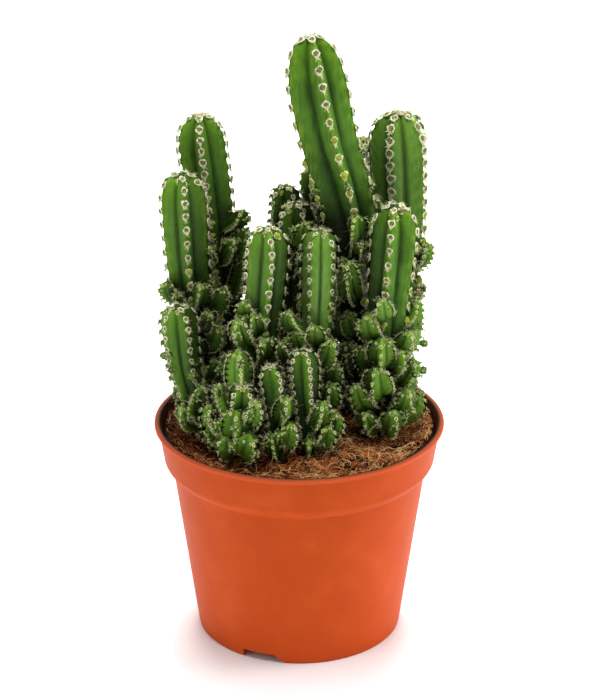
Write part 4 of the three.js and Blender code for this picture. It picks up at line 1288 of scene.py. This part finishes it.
def ring_shape(around, section):
    """A unit ring of wool, as points in (across, up, out), with its triangles."""
    a = 2 * np.pi * np.arange(around) / around
    b = 2 * np.pi * np.arange(section) / section
    reach = 1 + 0.2 * np.cos(b)[None, :]
    points = np.stack([reach * np.cos(a)[:, None], reach * np.sin(a)[:, None],
                       np.broadcast_to(0.27 * np.sin(b)[None, :] + 0.1, (around, section))], -1)
    triangles = grid_triangles(around, section)
    foot = np.maximum(0, -points[..., 1])
    points[..., 0] *= 1 - 0.3 * foot
    points[..., 1] *= 1 + 0.3 * foot
    first = np.arange(section)
    after, last = (first + 1) % section, (around - 1) * section
    wrap = np.stack([first + last, after + last, after, first], -1)
    return points.reshape(-1, 3), np.concatenate([triangles, wrap[:, [0, 1, 2]], wrap[:, [0, 2, 3]]])


def bud_shape(around):
    """A low dome that fills the ring. Its first row of points lies in the dark moat between the two."""
    a = 2 * np.pi * np.arange(around) / around
    rows = [np.stack([r * np.cos(a), r * np.sin(a), np.full(around, h)], -1)
            for r, h in ((0.92, -0.05), (0.6, 0.24), (0.3, 0.42))]
    points = np.concatenate([*rows, [[0, 0, 0.48]]])
    return points, np.concatenate([grid_triangles(3, around), fan(around, 2 * around, 3 * around)])


def stamp(shape, spot, out, up, size, rough=0.0, tall=1.0):
    """Copies of a small shape on many seats, each stretched outwards by its share in tall."""
    points, triangles = shape
    across = np.cross(up, out)
    local = points[None] * (1 + rng.normal(0, rough, (len(spot), len(points), 1))) * size[:, None, None]
    local[..., 2] *= np.broadcast_to(tall, (len(spot),))[:, None]
    placed = (spot[:, None] + local[..., :1] * across[:, None] + local[..., 1:2] * up[:, None]
              + local[..., 2:] * out[:, None])
    every = triangles[None] + (np.arange(len(spot)) * len(points))[:, None, None]
    return placed.reshape(-1, 3), every.reshape(-1, 3)


ring, bud = ring_shape(RING_AROUND, RING_SECTION), bud_shape(BUD_AROUND)
print("triangles in one areole:", len(ring[1]) + len(bud[1]))

# %% Rings of wool with their buds
def add_areoles(batch, spot, out, up, size, old, grown):
    """A lumpy ring and a bud on each seat. old is 0 for new cream wool and 1 for worn wool with a lime bud,
    and grown is how far the bud has swelled towards a new pup. Returns how far each seat lies in the clump,
    which paints shade on wool and spines."""
    slim = size * rng.uniform(0.94, 1.06, len(size))
    deep = shade_at(spot, out)
    points, triangles = stamp(ring, spot, out, up, slim, rough=0.17)
    batch.add(points, triangles, bud=0.0, old=np.repeat(old, len(ring[0])),
              deep=np.repeat(deep, len(ring[0])))
    points, triangles = stamp(bud, spot, out, up, slim * (1 + 0.6 * grown), rough=0.06,
                              tall=1 + 0.8 * grown)
    moat = np.tile(np.repeat([1.0, 0.0], [BUD_AROUND, len(bud[0]) - BUD_AROUND]), len(spot))
    batch.add(points, triangles, bud=1.0 + moat, old=np.repeat(old, len(bud[0])),
              deep=np.repeat(deep, len(bud[0])))
    return deep


print("points in one areole:", len(ring[0]) + len(bud[0]))

# %% Spines and hairs
SPINE_STEPS, LONG_HAIR_STEPS = 3, 6
BOX_ROOM = 0.3


def add_needles(batch, spot, aim, length, radius, tan, deep, bow=0.12, steps=SPINE_STEPS):
    """Slim tapering needles or hairs from spots, along directions, each bowed a little."""
    ends = spot + aim * length[:, None]
    keep = np.all((ends > BOX_LOW + BOX_ROOM) & (ends < BOX_HIGH - BOX_ROOM), axis=1)
    deep = np.broadcast_to(deep, (len(spot),))[keep]
    spot, aim, length, radius, tan = spot[keep], aim[keep], length[keep], radius[keep], tan[keep]
    side = unit(np.cross(aim, rng.normal(size=aim.shape)))
    t = np.linspace(0, 1, steps)
    sag = bow * rng.normal(0, 1, len(spot))[:, None] * t ** 2 * length[:, None]
    paths = spot[:, None] + aim[:, None] * (t[None, :, None] * length[:, None, None])
    paths = paths + side[:, None] * sag[..., None]
    radii = radius[:, None] * (1 - 0.85 * t)
    points, triangles = tubes(paths, radii, side)
    corners = steps * TUBE_SIDES
    batch.add(points, triangles, tan=np.repeat(tan, corners), deep=np.repeat(deep, corners))


def tuft(spot, out, up, count, down, spread):
    """Start spots and directions for a few needles on each seat."""
    spot, out, up = (np.repeat(part, count, axis=0) for part in (spot, out, up))
    across = np.cross(up, out)
    number = len(spot)
    aim = unit(out + up * (rng.normal(0, spread, (number, 1)) - down)
               + across * rng.normal(0, spread, (number, 1)))
    return spot + 0.25 * across * rng.normal(0, 1, (number, 1)), aim


print("model box in mm:", BOX_LOW.round(1), BOX_HIGH.round(1))

# %% Tips and long hairs
TUFTED = 10.5
COLUMN_COBWEB = 12


def tufted_tip(body, wool, spines, size):
    """Wool and a pinkish tan tuft on the tip of a stout column."""
    top = body.at(np.array([0.0]), body.centre)
    up = body.at(np.array([0.0]), body.along)
    count, tufts = 6, 18
    turn = rng.uniform(0, 2 * np.pi, count)
    reach = 0.2 * body.wide() * np.sqrt(rng.uniform(0, 1, count))
    side, other = body.u[0], body.v[0]
    out = unit(up + 0.25 * rng.normal(size=(count, 3)))
    spot = top - (0.4 + body.dimple) * up + reach[:, None] * (np.cos(turn)[:, None] * side
                                                              + np.sin(turn)[:, None] * other)
    add_areoles(wool, spot, out, unit(np.cross(out, [side])), np.full(count, size * 0.8), np.zeros(count),
                np.zeros(count))
    number = tufts * count
    start = np.repeat(spot, tufts, axis=0) + rng.normal(0, 0.09 * body.wide(), (number, 3)) * [1, 1, 0.2]
    aim = unit(up + 0.55 * rng.normal(size=(number, 3)))
    add_needles(spines, start, aim, rng.uniform(0.9, 2.0, number) * (0.6 + 0.07 * body.wide()),
                rng.uniform(0.07, 0.13, number), rng.uniform(0.1, 1, number), 0.0, bow=0.3)


def crowded_tip(body, wool, spines, size):
    """The young areoles of a slimmer body stand shoulder to shoulder round its tip."""
    count = 9 if body.wide() > 3 else 3
    s = rng.uniform(0.08, 0.5, count) * body.wide()
    turn = body.ribs * (np.arange(count) + rng.uniform(0, 0.8, count)) / count
    spot, out, up = body.seats(s, turn)
    deep = add_areoles(wool, spot, out, up, size * rng.uniform(0.7, 0.95, count), rng.uniform(0.3, 1, count),
                       rng.uniform(0.1, 0.8, count))
    start, aim = tuft(spot, out, up, 4, 0.0, 0.7)
    number = len(start)
    add_needles(spines, start, aim, rng.uniform(0.8, 2.2, number) * (0.4 + 0.1 * body.wide()),
                rng.uniform(0.06, 0.1, number), rng.uniform(0, 0.45, number), np.repeat(deep, 4), bow=0.3)


def cobweb(stem, spines, count):
    """A few long fine hairs that cross the gaps low on the plant."""
    bodies = stem["lobe_bodies"] or [stem["body"]]
    for _ in range(count):
        body = bodies[rng.integers(len(bodies))]
        s = rng.uniform(0.3, 2.5) * body.wide()
        spot, out, up = body.seats(np.array([s]), np.array([float(rng.integers(body.ribs))]))
        aim = unit(out + rng.normal(0, 0.6, (1, 3)) - 0.3 * up)
        add_needles(spines, spot, aim, rng.uniform(4, 9, 1), np.array([0.06]), rng.uniform(0, 0.5, 1), 0.0,
                    bow=0.25, steps=LONG_HAIR_STEPS)


print("tips are tufted from a radius of", TUFTED, "mm")

# %% How columns, offsets and pups are dressed
# The areoles' lowest place as a share of the length, their size as a share of the width, its limits in
# millimetres, and the spines, their length and the hairs of each areole.
COLUMN_HABIT = dict(lowest=0.97, share=0.125, least=0.9, most=1.6, spines=6, long=2.4, hairs=12)
LOBE_HABIT = dict(lowest=0.66, share=0.13, least=0.46, most=0.7, spines=3, long=1.8, hairs=7)
PUP_HABIT = dict(lowest=0.85, share=0.18, least=0.26, most=0.4, spines=2, long=1.2, hairs=7)


def wear(s, column):
    """How old the areoles at distances from the tip are and how far their buds have grown. Along a column
    both grow with the distance, and on an offset they are mixed."""
    if column:
        old = smoothstep(s, 12, 60) * rng.uniform(0.3, 1, len(s))
    else:
        old = rng.uniform(0.2, 1, len(s))
    old = np.clip(old + rng.normal(0, 0.12, len(s)), 0, 1)
    if column:
        return old, smoothstep(s, 22, 60) * rng.uniform(0.1, 1.2, len(s))
    return old, rng.uniform(0, 0.5, len(s))


def dress_body(body, habit, wide, wool, spines):
    """The areoles of one body with their spines and hairs, and the crowded wool on its tip."""
    spot, out, up, s = areole_seats(body, habit["lowest"])
    if not len(spot):
        return
    column = habit is COLUMN_HABIT
    size = np.clip(habit["share"] * wide, habit["least"], habit["most"])
    old, grown = wear(s, column)
    sizes = size * rng.uniform(0.88, 1.1, len(s)) * (1 - 0.08 * old)
    deep = add_areoles(wool, spot + 0.08 * out, out, up, sizes, old, grown)
    start, aim = tuft(spot, out, up, habit["spines"], 0.75, 0.55)
    number = len(start)
    add_needles(spines, start, aim, habit["long"] * rng.uniform(0.5, 1.25, number),
                rng.uniform(0.07, 0.12, number), rng.uniform(0, 0.6 if column else 0.25, number),
                np.repeat(deep, habit["spines"]))
    start, aim = tuft(spot - 0.7 * size * up, out * 0.4, up, habit["hairs"], 0.8, 0.6)
    number = len(start)
    add_needles(spines, start, aim, size * rng.uniform(0.8, 2.2, number),
                size * rng.uniform(0.12, 0.2, number), rng.uniform(0, 0.12, number),
                np.repeat(deep, habit["hairs"]), bow=0.15)
    if body.wide() < TUFTED:
        crowded_tip(body, wool, spines, size)
    else:
        tufted_tip(body, wool, spines, size)


def dress(stem, wool, spines):
    """All areoles of a stem, its offsets and its pups."""
    dress_body(stem["body"], COLUMN_HABIT, stem["radius"], wool, spines)
    for body in stem["lobe_bodies"]:
        dress_body(body, LOBE_HABIT, body.wide(), wool, spines)
    for body in stem["pups"]:
        dress_body(body, PUP_HABIT, body.wide(), wool, spines)


print("hairs on each areole of a column:", COLUMN_HABIT["hairs"])

# %% [markdown]
# ## The look of wool and spines
# Fresh wool is cream white and very rough; old wool is yellower, and its bud turns from brown to lime.
# Between the ring and its bud lies a dark moat, painted shade in the gap. Spines run from ivory to a pinkish
# tan, with a soft gloss. The mesh carries the age of each areole and the tan of each spine, and both finishes
# read them; both also paint shade on wool and spines that lie far in the clump.

# %% Cream wool and ivory spines
def cream_wool():
    wool = Finish("cream_areole_wool", specular_ior_level=0.15)
    fuzz = wool.noise(0.35, detail=4)
    bud, old = wool.value("bud"), wool.value("old")
    white = wool.blend(fuzz.between(0.3, 0.7), (232, 236, 182), (255, 255, 240))
    worn = wool.blend(fuzz, (204, 216, 118), (252, 254, 196))
    ring_colour = wool.blend(old * 0.85, white, worn)
    fresh_bud = wool.blend(fuzz.between(0.3, 0.7), (80, 82, 28), (160, 148, 86))
    lime_bud = wool.blend(fuzz, (112, 134, 22), (206, 220, 62))
    bud_colour = wool.blend(old.between(0.3, 0.75), fresh_bud, lime_bud)
    colour = wool.layered(ring_colour, (
        (bud.between(0.0, 1.0), bud_colour),
        # painted shade: the moat between ring and bud is painted nearly black
        (bud.between(1.0, 1.9) * 0.85, (44, 48, 16)),
        # painted shade: wool far in the clump is painted dark olive
        (wool.value("deep") * 0.45, (74, 80, 34)),
    ))
    wool.bumps(fuzz, 0.3)
    return wool.finished(colour, fuzz * 0.2 + 0.75)


def ivory_spine():
    spine = Finish("ivory_spine", specular_ior_level=0.4)
    colour = spine.layered((246, 250, 196), (
        (spine.value("tan"), (222, 164, 122)),
        (spine.noise(0.7).between(0.4, 0.8) * 0.3, (178, 166, 106)),
        # painted shade: spines far in the clump are painted darker
        (spine.value("deep") * 0.55, (88, 84, 52)),
    ))
    return spine.finished(colour, spine.noise(1.0) * 0.2 + 0.4)


wool_finish, spine_finish = cream_wool(), ivory_spine()
areole_count = 0
for stem in stems:
    wool, spines = Batch(), Batch()
    dress(stem, wool, spines)
    is_clump = stem["name"].startswith("offsets")
    cobweb(stem, spines, 4 + 2 * len(stem["lobe_bodies"]) if is_clump else COLUMN_COBWEB)
    wool.piece(stem["name"] + "_areoles", wool_finish, "flesh")
    spines.piece(stem["name"] + "_spines", spine_finish, "flesh")
    areole_count += wool.count // (len(ring[0]) + len(bud[0]))
print("areoles:", areole_count)

# %% [markdown]
# ## The studio
# The photo is a plain product shot: a pale floor that runs out of the picture, wide soft light from above
# and from both sides, stronger on the right, and a long lens that looks down by about 23 degrees. Large
# area lights give that softness, and the camera repeats the photo's own angle and distance.

# %% Floor, lights and camera
def pale_floor():
    shape = bmesh.new()
    corners = [shape.verts.new((x, y, 0)) for x, y in ((-4, -4), (4, -4), (4, 6), (-4, 6))]
    shape.faces.new(corners)
    floor = kept("studio_floor", shape)
    paint = Finish("pale_floor_paint", specular_ior_level=0.1)
    shade = paint.noise(400, detail=2)
    white = paint.blend(shade, (250, 250, 250), (254, 254, 254))
    floor.data.materials.append(paint.finished(white, shade * 0.1 + 0.8))


def soft_light(name, place, aim, size, power, spread=180):
    lamp = bpy.data.lights.new(name, "AREA")
    lamp.shape, lamp.size, lamp.energy, lamp.spread = "DISK", size, power, math.radians(spread)
    light = bpy.data.objects.new(name, lamp)
    light.location = place
    light.rotation_euler = (Vector(aim) - Vector(place)).to_track_quat("-Z", "Y").to_euler()
    bpy.context.scene.collection.objects.link(light)


AIR_STRENGTH = 0.26
SENSOR_WIDTH, LENS = 36, 138.54
CAMERA_PLACE = (0.00035, -1.1, 0.6023)
LOOK_DOWN = 23.099

pale_floor()
soft_light("top_light", (0.05, -0.3, 1.5), (0, 0, 0.15), 0.9, 15)
soft_light("right_light", (1.3, 0.1, 0.7), (0, 0, 0.12), 0.8, 9.5)
soft_light("left_light", (-1.1, -0.7, 0.8), (0, 0, 0.12), 0.8, 2.4)
soft_light("backdrop_light", (0, 1.15, 1.0), (0, 0.8, 0), 1.2, 14, spread=70)
world = bpy.data.worlds.new("studio_air")
world.use_nodes = True
world.node_tree.nodes["Background"].inputs["Color"].default_value = (1, 1, 1, 1)
world.node_tree.nodes["Background"].inputs["Strength"].default_value = AIR_STRENGTH
bpy.context.scene.world = world
bpy.context.scene.view_settings.view_transform = "Standard"

view = bpy.data.cameras.new("photo_camera")
view.sensor_width = SENSOR_WIDTH
view.lens = LENS
view.clip_start, view.clip_end = 0.05, 20
camera = bpy.data.objects.new("photo_camera", view)
camera.location = CAMERA_PLACE
camera.rotation_euler = (math.radians(90 - LOOK_DOWN), 0, 0)
bpy.context.scene.collection.objects.link(camera)
bpy.context.scene.camera = camera
print("camera looks down by", LOOK_DOWN, "degrees")

# %% [markdown]
# ## Sizes
# The looks must never grow past the CAD model's box, or the part would no longer fit where it is placed.
# The meshes made in batches are clipped to that box; this last step only brings the scene up to date.

# %% Bring the scene up to date
bpy.context.view_layer.update()
